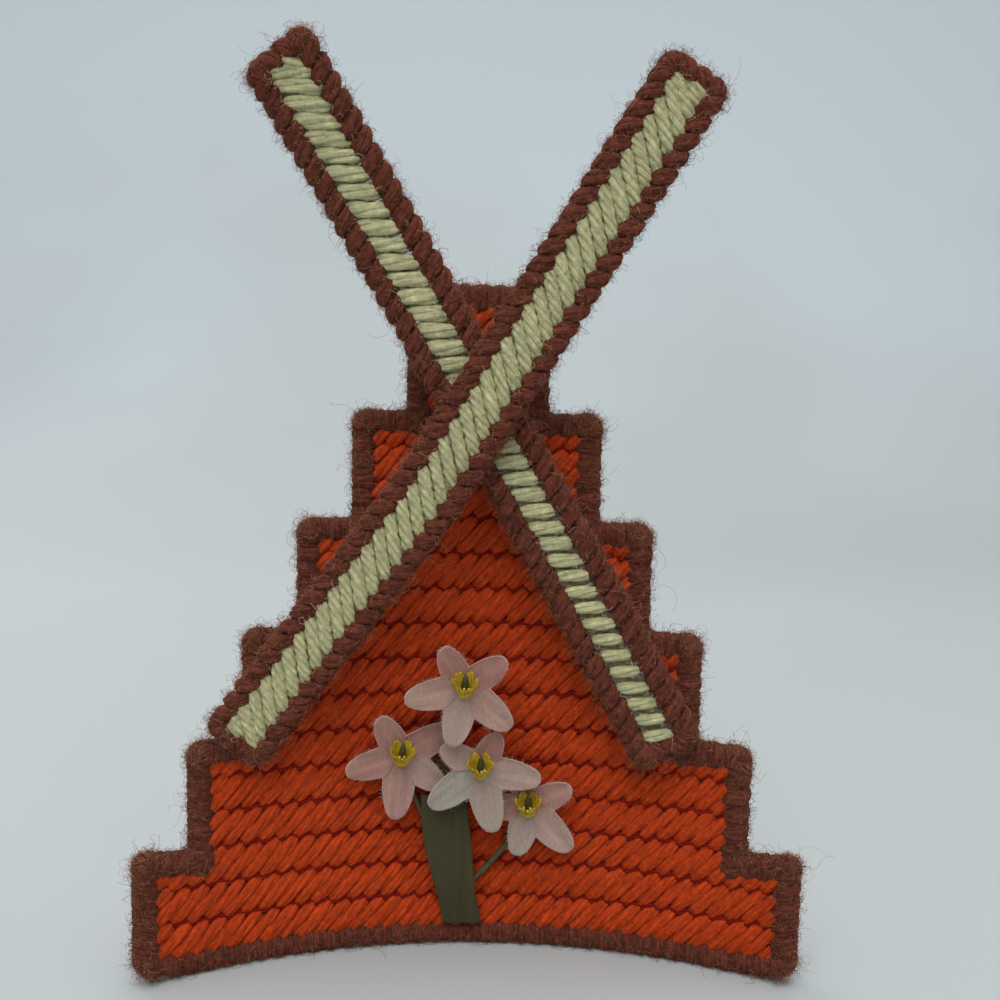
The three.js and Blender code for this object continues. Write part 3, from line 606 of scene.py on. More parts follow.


# Each yarn's second colour is painted shade, low between plies and in the seams; each fibre's light colour is
# a painted highlight.
orange_yarn = [yarn_material("orange_yarn", srgb(188, 64, 21), srgb(132, 22, 10), 0.04, 0.7),
               fibre_material("orange_fibre", srgb(176, 54, 18), srgb(212, 104, 52))]
brown_yarn = [yarn_material("brown_yarn", srgb(101, 51, 38), srgb(60, 24, 20), 0.12, 1.2),
              fibre_material("brown_fibre", srgb(86, 46, 32), srgb(182, 128, 98))]
cream_yarn = [yarn_material("cream_yarn", srgb(188, 184, 138), srgb(160, 150, 102), 0.1, 0.7, 0.5),
              fibre_material("cream_fibre", srgb(176, 168, 122), srgb(232, 228, 188))]

# Clear moulded plastic, slightly milky
CLEAR = {"Transmission Weight": 0.92, "IOR": 1.3}
canvas_plastic = plain_material("canvas_plastic", srgb(214, 211, 205), srgb(230, 227, 221), 900.0, 0.16,
                                strength=0.15, **CLEAR)
petal_cloth = petal_material()
cup_cloth = plain_material("cup_cloth", srgb(170, 132, 12), srgb(204, 176, 34), 700.0, 0.8, 0.2)
green_plastic = plain_material("green_plastic", srgb(58, 58, 30), srgb(80, 76, 42), 500.0, 0.5)
stamen_plastic = plain_material("stamen_plastic", srgb(206, 190, 96), srgb(226, 210, 130), 900.0, 0.5)
leaf_cloth = plain_material("leaf_cloth", srgb(50, 46, 16), srgb(64, 58, 24), 420.0, 0.8, 0.08, (1, 1, 0.06))
set_glue = plain_material("set_glue", srgb(206, 204, 192), srgb(222, 220, 210), 300.0, 0.25)


# Tower stitches

COURSE_COUNT = (TOWER_ROWS - 1) // COURSE_ROWS
SEAT = 0.4
TOWER_TAPER = 0.36
SHORT_STITCH = {"tuck": -0.1, "rows": 9, "rise": 1.2}
# Yarn squeezed into the holes at each seam, its colour all painted shade: dark red, where the seams lie in
# shade.
SEAM_YARN_IN_PAINTED_SHADE = {"tuck": -0.3, "rows": 9, "sides": 7, "rise": 0.95, "half_width": 1.0, "half_thick": 0.5,
             "depth": 1.5}
BACK_STITCH = {"facing": -1, "rise": BACK_RISE, "half_width": 1.9, "half_thick": BACK_HALF_THICKNESS,
               "tuck": 0.0, "rows": 9, "sides": 7}
FUZZ_PER_STITCH = 52
STRAYS_PER_STITCH = 3
BACK_FUZZ_PER_STITCH = 12
TOWER_FUZZ = {"length": 0.9, "lie": 1.4, "steps": 4}
TOWER_STRAYS = {"length": 2.4, "steps": 8}
BACK_FUZZ = {"length": 1.1, "steps": 4}


def tower_point(tier, column, row, above=0.0):
    """A hole by its place in its tier's row, counted from 1 at the left."""
    return ((column - (tier_holes(tier) + 1) / 2) * HOLE_PITCH, (row - 0.5) * HOLE_PITCH + above)


def course_ends(course):
    """A course's full stitches, then its short ones, each as a list of low and high points."""
    row = course * COURSE_ROWS + 1
    tier, below = row_tier(row + COURSE_ROWS), row_tier(row)
    holes = tier_holes(tier)

    def stitch(level, column, start, lean, rise):
        return (tower_point(level, column, start, SEAT),
                tower_point(level, column + lean, start + rise, -SEAT))

    first = 1 if tier == below else 0
    full = [stitch(tier, c, row, STITCH_LEAN, COURSE_ROWS) for c in range(first, holes - 1)]
    if tier == below:
        short = [stitch(tier, 1, row + 1, 1, 1), stitch(tier, holes - 1, row, 1, 1)]
    else:
        tread = range(STEP_HOLES + holes - 1, 2 * STEP_HOLES + holes)
        short = [stitch(below, c, row, 1, 1) for c in (1, 2, *tread)]
    return np.array(full), np.array(short)


def seam_ends(row):
    """Where the yarn is squeezed between the holes that two courses share."""
    tier = row_tier(row)
    low = np.array([tower_point(tier, column, row) for column in range(1, tier_holes(tier) - 1)])
    return low, low + np.array([2 * HOLE_PITCH, 0])


def tower_course(course):
    name = f"stitch_course_{course + 1:02d}"
    rng = seeded(name)
    strands = Strands()
    full, short = course_ends(course)
    parts = [stitches(strands, rng, full[:, 0], full[:, 1], tower, taper=TOWER_TAPER),
             stitches(strands, rng, short[:, 0], short[:, 1], tower, **SHORT_STITCH)]
    low, high = seam_ends(course * COURSE_ROWS + 1)
    # The squeezed yarn at the seams is coloured with painted shade.
    stitches(strands, rng, low, high, tower, **SEAM_YARN_IN_PAINTED_SHADE)
    for rings, middles in parts:
        fuzz(strands, rng, rings, middles, len(rings) * FUZZ_PER_STITCH, **TOWER_FUZZ)
    fuzz(strands, rng, *parts[0], len(full) * STRAYS_PER_STITCH, **TOWER_STRAYS)
    make_piece(name, strands, orange_yarn, "orange_yarn", f"tower_stitches_{course + 1:02d}")


def tower_back(part, courses):
    """The returns behind the canvas, almost upright, from each hole to the next stitch's start."""
    name = f"return_stitches_{part}"
    rng = seeded(name)
    ends = []
    for course in courses:
        row = course * COURSE_ROWS + 1
        tier, below = row_tier(row + COURSE_ROWS), row_tier(row)
        for column in range(1, tier_holes(tier) + 1):
            ends.append((tower_point(tier, column - 0.5, row, SEAT),
                         tower_point(tier, column + 0.5, row + COURSE_ROWS, -SEAT)))
        if tier != below:
            wide = tier_holes(below)
            for column in (*range(1, STEP_HOLES + 1), *range(wide - STEP_HOLES, wide)):
                ends.append((tower_point(below, column, row, SEAT),
                             tower_point(below, column + 0.6, row + 1)))
    ends = np.array(ends)
    strands = Strands()
    rings, middles = stitches(strands, rng, ends[:, 0], ends[:, 1], tower, **BACK_STITCH)
    fuzz(strands, rng, rings, middles, BACK_FUZZ_PER_STITCH * len(ends), **BACK_FUZZ)
    make_piece(name, strands, orange_yarn, "orange_yarn", "tower_back_stitches")


# Overcast edging

LOOP_REACH = INSET + LOOP_TIP
CORNER_SQUARENESS = 2.2
STEP_TURNS = (25, 45, 65)
NOTCH_WAYS = np.array([[0.35, 0.94], [0.71, 0.71], [0.94, 0.35]])
NOTCH_REACH = LOOP_TIP + 0.5 + INSET * math.sqrt(2)
END_TURNS = np.array([0, 22, 45, 68])
SAIL_CORNER_TURNS = np.array([30, 60])

# How far the loops reach past their holes
LEFT_LOOP_INSIDE = 0.5
RIGHT_LOOP_INSIDE = 1.0
BASE_LOOP_INSIDE = 0.5
TOP_LOOP_INSIDE = 2.1


def run_of_loops(start, stop, count, outward):
    """Hole places from start to stop, with the way out of the edge at each."""
    share = np.linspace(0, 1, count)[:, None]
    holes = np.array(start) * (1 - share) + np.array(stop) * share
    return holes, np.tile(outward, (count, 1)) * LOOP_REACH


def fan(corner, angles):
    """Loops that turn an outside corner, all through its one hole."""
    turn = np.radians(angles)
    way = np.stack([np.cos(turn), np.sin(turn)], -1)
    stretch = (np.abs(way) ** CORNER_SQUARENESS).sum(-1, keepdims=True) ** (-1 / CORNER_SQUARENESS)
    return np.tile(corner, (len(turn), 1)), way * stretch * LOOP_REACH


def edging(name, node, runs, place, inside, **options):
    rng = seeded(name)
    holes, ways = (np.concatenate(parts) for parts in zip(*runs))
    strands = Strands()
    rings, middles = coil(strands, rng, holes, ways, place, inside, **options)
    make_piece(f"{name}_binding", strands, brown_yarn, "brown_yarn", node)
    fringe(name, rng, node, rings, middles)


def side_edging(side, name, inside):
    """The edging up one side's steps, round each tread's corner and through each notch."""
    runs = []
    for tier in range(TIER_COUNT):
        head, x = tier_head(tier) - INSET, tier_half(tier) - INSET
        is_top = tier + 1 == TIER_COUNT
        count = TOP_TIER_ROWS if is_top else TIER_ROWS
        holes, ways = run_of_loops((x, tier_foot(tier) + INSET), (x, head), count, (1, 0))
        if tier == 0:
            holes[0, 1] += INSET
        if is_top:
            runs.append((holes[:-1], ways[:-1]))
            continue
        runs.append((holes, ways))
        runs.append(fan((x, head), STEP_TURNS))
        runs.append(run_of_loops((x, head), (x - (STEP_HOLES - 1) * HOLE_PITCH, head), STEP_HOLES, (0, 1)))
        notch = (tier_half(tier + 1) - INSET, head)
        runs.append((np.tile(notch, (len(NOTCH_WAYS), 1)), NOTCH_REACH * NOTCH_WAYS))

    def place(points):
        return tower(points * np.array([side, 1, 1]))

    edging(name, f"{name}_edging", runs, place, inside)


def straight_edging(name, tier, up, outward, inside):
    """The base's or the top's edging, with fanned loops round each end's corner."""
    y = up - outward * INSET
    x = tier_half(tier) - INSET
    left_angles = 180 - END_TURNS if outward > 0 else 180 + END_TURNS
    runs = [fan((-x, y), left_angles), run_of_loops((-x, y), (x, y), tier_holes(tier), (0, outward)),
            fan((x, y), outward * END_TURNS[::-1])]
    edging(name, f"{name}_edging", runs, tower, inside)


# Sails

# Widths, tucks and slants are given by row. The short stitches at a sail's ends go across and up
# it, or down from its tip where less than nothing. The slack is how much longer the loops on the
# right are. The rear sail's yarn was pulled tighter near its foot.
REAR_SAIL = {
    "slants": ((0, 15, 35, 42), (0.9, 1.05, 1.25, 1.9)),
    "widths": ((0, 9, 16, 22, 30, 42), (1.18, 1.3, 1.5, 1.62, 1.56, 1.45)),
    "tucks": ((0, 7, 14, 22, 30), (1.35, 1.15, 0.75, 0.6, 0.45)),
    "slack": ((0, 14), (0.3, 0.13)),
    "ends": [((0.0, -1.5), (2.6, -5.4))],
    "inside": 0.4,
    "ply": {"taper": 0.6, "turn_length": REAR_TURN_LENGTH, "groove": 0.45},
}
FRONT_SAIL = {
    "slants": ((0,), (2,)),
    "widths": ((0,), (1.45,)),
    "tucks": ((0,), (0.1,)),
    "slack": ((0,), (0,)),
    "ends": [((-0.6, -1.6), (3.2, -4.8)), ((1.2, -1.5), (3.2, -3.2)),
             ((-3.5, 4.6), (-0.2, 1.7)), ((-3.4, 2.2), (-1.9, 1.2))],
    "inside": -0.15,
    "ply": {"taper": 0.25, "turn_length": 8.5, "groove": 0.8},
}
END_STITCH_HALF_WIDTH = 1.3
END_STITCH_TUCK = 0.1
FACE_YARN = {"rise": 1.36, "rows": 15, "half_thick": 1.14}
RETURN_YARN = {"facing": -1, "rise": BACK_RISE, "half_width": 1.75, "half_thick": BACK_HALF_THICKNESS,
               "tuck": 0.1, "rows": 12, "turn_length": REAR_TURN_LENGTH}
SAIL_BINDING = {"closed": True, "lean": 0.85, "half_width": 1.64, "half_thick": 1.04, "is_flat": False,
                "pinch": 0.3, "turn_length": 16.0, "groove": 0.2}

# How many short loose fibres, then long ones
FACE_FIBRES = (5000, 2400)
RETURN_FIBRES = (1200, 300)
SAIL_FUZZ = {"length": 1.0, "steps": 3, "radius": 0.046, "lie": 1.2}
SAIL_HALO = {"length": 1.9, "steps": 4, "radius": 0.04, "lie": 0.9, "stand": 1.6, "curl": 0.9}

# The rear sail's end was cut short and a little askew.
TIP_FROM = 0.8
TIP_PULL = 1.9
TIP_SKEW = 0.12


def pulled_in(place):
    def shortened(points):
        points = np.array(points, float)
        share = np.clip((points[..., 1] / SAIL_LENGTH - TIP_FROM) / (1 - TIP_FROM), 0, 1.1)
        points[..., 1] -= (TIP_PULL - TIP_SKEW * points[..., 0]) * share**2
        return place(points)

    return shortened


def sail_yarn(name, node, low, high, place, fibres, **options):
    rng = seeded(name)
    strands = Strands()
    rings, middles = stitches(strands, rng, low, high, place, **options)
    fuzz(strands, rng, rings, middles, fibres[0], **SAIL_FUZZ)
    fuzz(strands, rng, rings, middles, fibres[1], **SAIL_HALO)
    make_piece(name, strands, cream_yarn, "cream_yarn", node)


def sail(name, place, choice):
    edge = (SAIL_HOLES - 1) / 2 * HOLE_PITCH
    rows = np.arange(SAIL_ROWS - 1) + 1
    slant = np.interp(rows, *choice["slants"]) * HOLE_PITCH / 2
    left_up = np.minimum(rows * HOLE_PITCH + slant, SAIL_LENGTH - INSET)
    right_up = np.maximum(rows * HOLE_PITCH - slant, INSET)
    left, right = np.full(len(rows), -edge), np.full(len(rows), edge)
    low, high = np.stack([left, left_up], -1), np.stack([right, right_up], -1)
    ends = np.array(choice["ends"])
    ends[..., 1] += SAIL_LENGTH * (ends[..., 1] < 0)
    widths = np.append(np.interp(rows, *choice["widths"]), np.full(len(ends), END_STITCH_HALF_WIDTH))
    tucks = np.append(np.interp(rows, *choice["tucks"]), np.full(len(ends), END_STITCH_TUCK))
    sail_yarn(f"{name}_face_yarn", f"{name}_stitches", np.concatenate([low, ends[:, 0]]),
              np.concatenate([high, ends[:, 1]]), place, FACE_FIBRES, half_width=widths, tuck=tucks,
              **FACE_YARN, **choice["ply"])
    sail_yarn(f"{name}_return_yarn", f"{name}_back_stitches", low, np.stack([right, left_up], -1), place,
              RETURN_FIBRES, **RETURN_YARN)
    corners = [(edge, INSET), (edge, SAIL_LENGTH - INSET), (-edge, SAIL_LENGTH - INSET), (-edge, INSET)]
    ways_out = [(1, 0), (0, 1), (-1, 0), (0, -1)]
    runs = []
    for i, count in enumerate((SAIL_ROWS, SAIL_HOLES, SAIL_ROWS, SAIL_HOLES)):
        stop = corners[(i + 1) % 4]
        holes, ways = run_of_loops(corners[i], stop, count, ways_out[i])
        if i == 0:
            ways = ways * (1 + np.interp(np.arange(count), *choice["slack"]))[:, None]
        runs.append((holes, ways))
        runs.append(fan(stop, 90 * i + SAIL_CORNER_TURNS))
    runs.append((runs[0][0][:1], runs[0][1][:1]))
    edging(name, f"{name}_edging", runs, place, choice["inside"], **SAIL_BINDING)


# Canvas mesh

def grid_lines(count):
    """Both sides of each of a sheet's bars, with one bar more than holes."""
    bars = np.arange(count + 1)[:, None] * HOLE_PITCH
    return (bars + np.array([-0.5, 0.5]) * CANVAS_BAR).ravel()


def grid_canvas(name, node, place, columns, rows, holds):
    """Moulded bars round square holes. holds(column, row) says which squares the sheet keeps."""
    half = CANVAS_THICKNESS / 2
    lines_x, lines_y = grid_lines(columns) - columns * HOLE_PITCH / 2, grid_lines(rows)
    keep = np.zeros((len(lines_x) - 1, len(lines_y) - 1), bool)
    for c in range(columns):
        for r in range(rows):
            if holds(c, r):
                keep[2 * c:2 * c + 3, 2 * r:2 * r + 3] = True
    keep[1::2, 1::2] = False
    x, y = np.meshgrid(lines_x, lines_y, indexing="ij")
    layers = [place(np.stack([x, y, np.full_like(x, out)], -1)) for out in (-half, half)]
    points = np.stack(layers).reshape(-1, 3)
    index = np.arange(len(points)).reshape(2, *x.shape)
    i, j = np.nonzero(keep)
    padded = np.pad(keep, 1)
    corners = [(0, 0), (1, 0), (1, 1), (0, 1)]
    front = np.stack([index[1, i + a, j + b] for a, b in corners], -1)
    back = np.stack([index[0, i + b, j + a] for a, b in corners], -1)
    faces = [front, back]
    for side, beside in enumerate([(0, -1), (1, 0), (0, 1), (-1, 0)]):
        a, b = corners[side], corners[(side + 1) % 4]
        bare = ~padded[i + 1 + beside[0], j + 1 + beside[1]]
        p, q = i[bare], j[bare]
        faces.append(np.stack([index[0, p + a[0], q + a[1]], index[0, p + b[0], q + b[1]],
                               index[1, p + b[0], q + b[1]], index[1, p + a[0], q + a[1]]], -1))
    used, numbers = np.unique(np.concatenate(faces), return_inverse=True)
    mesh = bpy.data.meshes.new(name)
    mesh.from_pydata((points[used] * MM).tolist(), [], numbers.reshape(-1, 4).tolist())
    mesh.materials.append(canvas_plastic)
    finish_piece(link(name, mesh), "canvas", node)


def tower_holds(column, row):
    return abs(column + 0.5 - BASE_HOLES / 2) < tier_holes(row_tier(row + 1)) / 2


rear_place = sail_place("rear_sail_canvas")
front_place = sail_place("front_sail_canvas")

grid_canvas("tower_mesh", "tower_canvas", tower, BASE_HOLES, TOWER_ROWS, tower_holds)
for course_index in range(COURSE_COUNT):
    tower_course(course_index)
for part_index, part_name in enumerate(("low", "middle", "high")):
    share = COURSE_COUNT // 3
    tower_back(part_name, range(part_index * share, (part_index + 1) * share))
straight_edging("base", 0, 0, -1, BASE_LOOP_INSIDE)
straight_edging("top", TIER_COUNT - 1, tier_head(TIER_COUNT - 1), 1, TOP_LOOP_INSIDE)
side_edging(-1, "left", LEFT_LOOP_INSIDE)
side_edging(1, "right", RIGHT_LOOP_INSIDE)
for sail_name, sail_at, sail_choice in (("rear_sail", pulled_in(rear_place), REAR_SAIL),
                                        ("front_sail", front_place, FRONT_SAIL)):
    grid_canvas(f"{sail_name}_mesh", f"{sail_name}_canvas", sail_at, SAIL_HOLES, SAIL_ROWS, lambda c, r: True)
    sail(sail_name, sail_at, sail_choice)


# Flowers

# Across, height and standoff, then petals as turn, length and blush, then the stem's points. Three
# petals and the upper stem follow the photograph more closely than the part's source does.
FLOWERS = {
    "upper": ((-2.1, 57.9, 11.4),
              [(37, 10.2, 0.95), (118, 9.6, 0.95), (191, 12, 0.55), (259, 11.8, 0.35), (320, 12.2, 0.6)],
              [(-4.8, 52.6, 6.2), (-5.6, 45.4, 5.0), (-8.0, 41.7, 4.5), (-4.3, 37.3, 4.5),
               (-4.4, 33, 3.8), (-4.6, 29, 3.7)]),
    "left": ((-15.1, 42.4, 6.0),
             [(31, 12.1, 0.9), (118, 9.8, 0.85), (193, 11.5, 0.8), (265, 12.8, 0.7), (323, 10.8, 0.45)],
             [(-13.6, 37.5, 4.3), (-11.9, 33.1, 3.9), (-10.2, 29.5, 3.7), (-8.4, 25, 3.7)]),
    "middle": ((1.8, 40.5, 8.8),
               [(-8, 12.4, 0.4), (66, 8.7, 0.95), (148, 9.4, 0.35), (217, 12.6, 0.05), (283, 13.1, 0.2)],
               [(1.0, 37, 5.2), (-0.6, 34, 3.8), (-1.4, 30, 3.7), (-1.9, 26, 3.7)]),
    "right": ((12.4, 31.9, 6.0),
              [(29, 10, 0.8), (100, 9, 0.7), (180, 9.5, 0.8), (258, 10.3, 0.2), (317, 12.4, 0.4)],
              [(10.6, 27.5, 4.3), (8.7, 24.3, 3.9), (4.6, 19, 3.7), (0.2, 14.6, 3.7)]),
}
PETAL_WIDTH = 5.3
PETAL_SPREAD = 0.3
PETAL_SHOULDER = 0.48
PETAL_ROUNDNESS = 0.4
PETAL_THICKNESS = 0.28
PETAL_CUPPING = 1.6
PETAL_FOOT_SHARE = 0.12
PETAL_COLUMNS = 360
PETAL_ROWS = 18
USUAL_PETAL_LENGTH = 11
FRAYED_FROM = 3
FRAYED_TO = 10
RIM_WIDTH = 0.45
PETAL_THREADS = 420
CUP_TILT = math.radians(60)
CUP_DROP = 0.85
CUP_LIFT = 1.15
CUP_LOBES = 6
CUP_HEIGHT = 2.6
CUP_LOBE_HEIGHT = 1.2
CUP_FOOT_RADIUS = 1.3
CUP_FLARE = 1.15
CUP_WALL = 0.2
CUP_COLUMNS = 120
CUP_ROWS = 12
CUP_THREADS = 220
PISTIL_LENGTH = 4.1
PISTIL_NECK = 0.3
PISTIL_SWELL = 0.48
STAMENS = ((-0.62, -0.45), (0.05, -0.75), (0.6, -0.4))
STAMEN_FOOT = 0.25
STAMEN_RADIUS = 0.13
STAMEN_TIP_SWELL = 0.1
STEM_RADIUS = 0.6
GLUE_SWELL = 1.08
GLUE_UNEVENNESS = 0.05
NECK_TOP = 0.48
NECK_LENGTH = 1.4
LEAF_THICKNESS = 0.35
LEAF_SAG_SHARE = 0.09
LEAF_ROWS = 44
LEAF_COLUMNS = 25

# Height, middle across, half width and standoff, from the cut end up
LEAF = [(5.4, -1.2, 4.1, 3.0), (10.0, -2.2, 4.1, 4.2), (13.5, -2.9, 4.2, 5.2), (18.0, -3.8, 4.7, 5.4),
        (23.0, -4.7, 5.1, 5.4), (28.5, -5.4, 5.1, 5.4), (34.0, -5.8, 4.9, 5.4)]


def seat_on_tower(across, height, standoff):
    """A function that lays points given right, up and out of a place on the tower's face."""
    turn = across / BEND_RADIUS
    right = np.array([math.cos(turn), -math.sin(turn), 0])
    out = np.array([-math.sin(turn), -math.cos(turn), 0])
    basis = np.stack([right, [0, 0, 1], out])
    origin = tower(np.array([across, height - EDGE_REACH, standoff]))
    return lambda points: origin + np.asarray(points, float) @ basis


def closed_sheet(top, bottom):
    """A mesh between two grids, closed along the first and last rows, and round the columns."""
    rows, columns = top.shape[:2]
    index = np.arange(2 * rows * columns).reshape(2, rows, columns)
    wrap = np.roll(index, -1, axis=2)
    upper = np.stack([index[0, :-1], wrap[0, :-1], wrap[0, 1:], index[0, 1:]], -1).reshape(-1, 4)
    lower = np.stack([index[1, :-1], index[1, 1:], wrap[1, 1:], wrap[1, :-1]], -1).reshape(-1, 4)
    inner = np.stack([index[0, 0], index[1, 0], wrap[1, 0], wrap[0, 0]], -1)
    outer = np.stack([index[0, -1], wrap[0, -1], wrap[1, -1], index[1, -1]], -1)
    return np.stack([top, bottom]).reshape(-1, 3), [upper, lower, inner, outer]


def around(turns):
    """Unit vectors at these turns, in a flower's own plane."""
    return np.stack([np.cos(turns), np.sin(turns), 0 * turns], -1)


def loose_threads(root, heading, length, bend, aid, radii):
    """Short threads of three rings that leave their roots along heading, and bend."""
    line = np.stack([root, root + heading * length * 0.5, root + heading * length + bend], 1)
    side = unit(np.cross(heading, aid))[:, None, None]
    return hairs(line, side, np.cross(heading[:, None, None], side), radii)


def petal_outline(turns, petals):
    """How far the corolla reaches at each turn, and which petal is nearest."""
    reach = np.linspace(0.5, 14, 400)[None, :, None]
    angle = turns[:, None, None] - np.radians([petal[0] for petal in petals])[None, None, :]
    length = np.array([petal[1] for petal in petals])[None, None, :]
    ahead, aside = reach * np.cos(angle), np.abs(reach * np.sin(angle))
    part = ahead / length
    past = np.clip((part - PETAL_SHOULDER) / (1 - PETAL_SHOULDER), 0, 1)
    half = PETAL_WIDTH / 2 * (length / USUAL_PETAL_LENGTH) ** 0.5 * (1 - past**2) ** PETAL_ROUNDNESS
    half = half * (1 + PETAL_SPREAD * np.clip(1 - part, 0, 1))
    outside = ~((aside < half) & (ahead > 0)).any(2)
    first = np.where(outside.any(1), outside.argmax(1), outside.shape[1] - 1)
    return reach[0, np.maximum(first, 12), 0], np.cos(angle[:, 0]).argmax(1)


def corolla(name, seat, petals):
    rng = seeded(name)
    turns = circle(PETAL_COLUMNS)
    reach, nearest = petal_outline(turns, petals)
    frayed = (np.sin(5 * turns + len(name)) > -0.35) & (reach < FRAYED_TO) & (reach > FRAYED_FROM)
    ragged = np.where(frayed, rng.uniform(-0.2, 0.06, PETAL_COLUMNS), rng.uniform(-0.04, 0.02, PETAL_COLUMNS))
    reach = reach + ragged
    frayed = frayed & (reach > FRAYED_FROM)
    share = np.linspace(PETAL_FOOT_SHARE, 1, PETAL_ROWS)[:, None]
    directions, lengths, blushes = np.array(petals, float)[nearest].T
    directions = np.radians(directions)

    def surface(distance, turn, direction, length, which):
        aside = distance * np.sin(turn - direction)
        part = distance * np.cos(turn - direction) / length
        lift = PETAL_CUPPING * part**2 * (1 - 0.35 * part)
        crease = 0.16 * np.exp(-((aside / 0.7) ** 2)) * np.clip(3 * part * (1.1 - part), 0, 1)
        wave = 0.1 * (aside / 1.6) ** 2 + 0.14 * np.sin(1.3 * aside + 4 * part + 2 * which)
        out = lift - crease + wave
        return np.stack([distance * np.cos(turn), distance * np.sin(turn), out], -1), part, aside

    middle, part, aside = surface(share * reach, turns, directions, lengths, nearest)
    half = np.array([0, 0, PETAL_THICKNESS / 2])
    points, faces = closed_sheet(middle + half, middle - half)
    blush = np.convolve(np.tile(blushes, 3), np.ones(13) / 13, "same")[PETAL_COLUMNS:2 * PETAL_COLUMNS]
    rim = np.clip((share * reach - reach + RIM_WIDTH) / RIM_WIDTH, 0, 1)
    field = np.stack([np.broadcast_to(blush, part.shape), rim, aside], -1)
    strands = Strands()
    strands.add(seat(points), np.stack([field, field]), faces, 0)

    # Threads that have come loose along the cut edges
    at = rng.choice(np.flatnonzero(frayed), PETAL_THREADS)
    turn, direction = turns[at], directions[at]
    root = surface(reach[at] - 0.1, turn, direction, lengths[at], nearest[at])[0]
    across = around(turn + math.pi / 2) * np.sign(np.sin(turn - direction))[:, None]
    heading = unit(across + 0.4 * around(turn) + rng.normal(0, 0.35, root.shape))
    length = 0.16 + 0.6 * rng.random((len(at), 1)) ** 2
    bend = rng.normal(0, 0.25, root.shape) * length
    radii = np.array([0.04, 0.03, 0.02])[None, :, None, None]
    tubes = loose_threads(root, heading, length, bend, [0.2, 0.1, 0.97], radii)
    strand = np.zeros_like(tubes)
    strand[..., 0] = blush[at][:, None, None]
    strand[..., 1] = 0.6
    strands.tubes(seat(tubes), strand, capped=False)
    make_piece(f"{name}_petals", strands, [petal_cloth], "petal", f"{name}_corolla")


def tilted(seat):
    """The cup leans so that it opens upwards: its own points to the flower's."""
    lean, rise = math.cos(CUP_TILT), math.sin(CUP_TILT)
    turn = np.array([[1, 0, 0], [0, lean, -rise], [0, rise, lean]])
    return lambda points: seat(np.asarray(points, float) @ turn + np.array([0, -CUP_DROP, CUP_LIFT]))


def crown(name, seat):
    """A flared cup with a fringe of pointed lobes."""
    rng = seeded(name + "cup")
    columns, rows, lobes = CUP_COLUMNS, CUP_ROWS, CUP_LOBES
    turns = circle(columns)
    wave = np.abs(np.cos(turns * lobes / 2))
    which = np.round(turns * lobes / (2 * math.pi)).astype(int) % lobes
    height = CUP_HEIGHT + (CUP_LOBE_HEIGHT + rng.uniform(-0.3, 0.3, lobes)[which]) * wave**0.8
    height = height + rng.uniform(-0.3, 0.3, columns)
    share = np.linspace(0, 1, rows)[:, None]
    up = share * height
    radius = CUP_FOOT_RADIUS + CUP_FLARE * np.clip(up / 3.6, 0, 1) ** 0.8 + 0.3 * (wave - 0.5) * share
    radius = radius + 0.1 * np.sin(9 * turns + rng.uniform(0, 6)) * share
    sheets = []
    for wall in (0.0, CUP_WALL):
        r = radius - wall
        sheets.append(np.stack([r * np.cos(turns), r * np.sin(turns), up + wall * (1 - share)], -1))
    points, faces = closed_sheet(*sheets)
    count = len(points)
    points = np.concatenate([points, [np.zeros(3), (0, 0, CUP_WALL)]])
    ring = np.arange(columns)
    turned = (ring + 1) % columns
    upper = np.stack([0 * ring + count + 1, rows * columns + ring, rows * columns + turned], -1)
    lower = np.stack([0 * ring + count, turned, ring], -1)
    place = tilted(seat)
    strands = Strands()
    strands.add(place(points), points, [np.concatenate([faces[0], faces[1], faces[3]]), upper, lower], 0)
    at = rng.integers(0, columns, CUP_THREADS)
    root = sheets[0][rng.integers(rows // 2, rows, CUP_THREADS), at]
    heading = unit(0.45 * around(turns[at]) + np.array([0, 0, 1]) + rng.normal(0, 0.35, root.shape))
    length = rng.uniform(0.3, 0.9, (len(at), 1))
    tubes = loose_threads(root, heading, length, rng.normal(0, 0.15, root.shape), [0.2, 0.97, 0.1], 0.045)
    strands.tubes(place(tubes), tubes, capped=False)
    make_piece(f"{name}_crown", strands, [cup_cloth], "cup", f"{name}_cup")


def rod(points, radii, sides):
    """Rings round a path."""
    points = np.asarray(points, float)
    along = unit(np.gradient(points, axis=0))
    side = unit(np.cross(along, np.array([0.31, 0.87, 0.39])))
    other = np.cross(along, side)
    turn = circle(sides)[:, None]
    radii = np.asarray(radii, float)[:, None, None]
    return points[:, None] + radii * (np.cos(turn) * side[:, None] + np.sin(turn) * other[:, None])


def pistil(name, seat):
    """The green pistil, and three pale stamens before it, as one piece."""
    rng = seeded(name + "pistil")
    strands = Strands()
    place = tilted(seat)
    share = np.linspace(0, 1, 14)
    radii = PISTIL_NECK + PISTIL_SWELL * np.sin(np.clip(share * 1.02, 0, 1) ** 0.8 * math.pi)
    line = np.stack([0.15 * share, 0.4 + 0.4 * share, STAMEN_FOOT + PISTIL_LENGTH * share], -1)
    rings = rod(line, radii, 12)
    strands.tubes(place(rings)[None], rings[None], slot=0)
    for x, y in STAMENS:
        bend = rng.uniform(-0.3, 0.3, 2)
        tall = rng.uniform(1.3, 2.2)
        line = [x + bend[0] * share**2, y + bend[1] * share**2, STAMEN_FOOT + tall * share]
        rings = rod(np.stack(line, -1), STAMEN_RADIUS + STAMEN_TIP_SWELL * (share > 0.75), 7)
        strands.tubes(place(rings)[None], rings[None], slot=1)
    make_piece(f"{name}_centre", strands, [green_plastic, stamen_plastic], "stem", f"{name}_pistil")


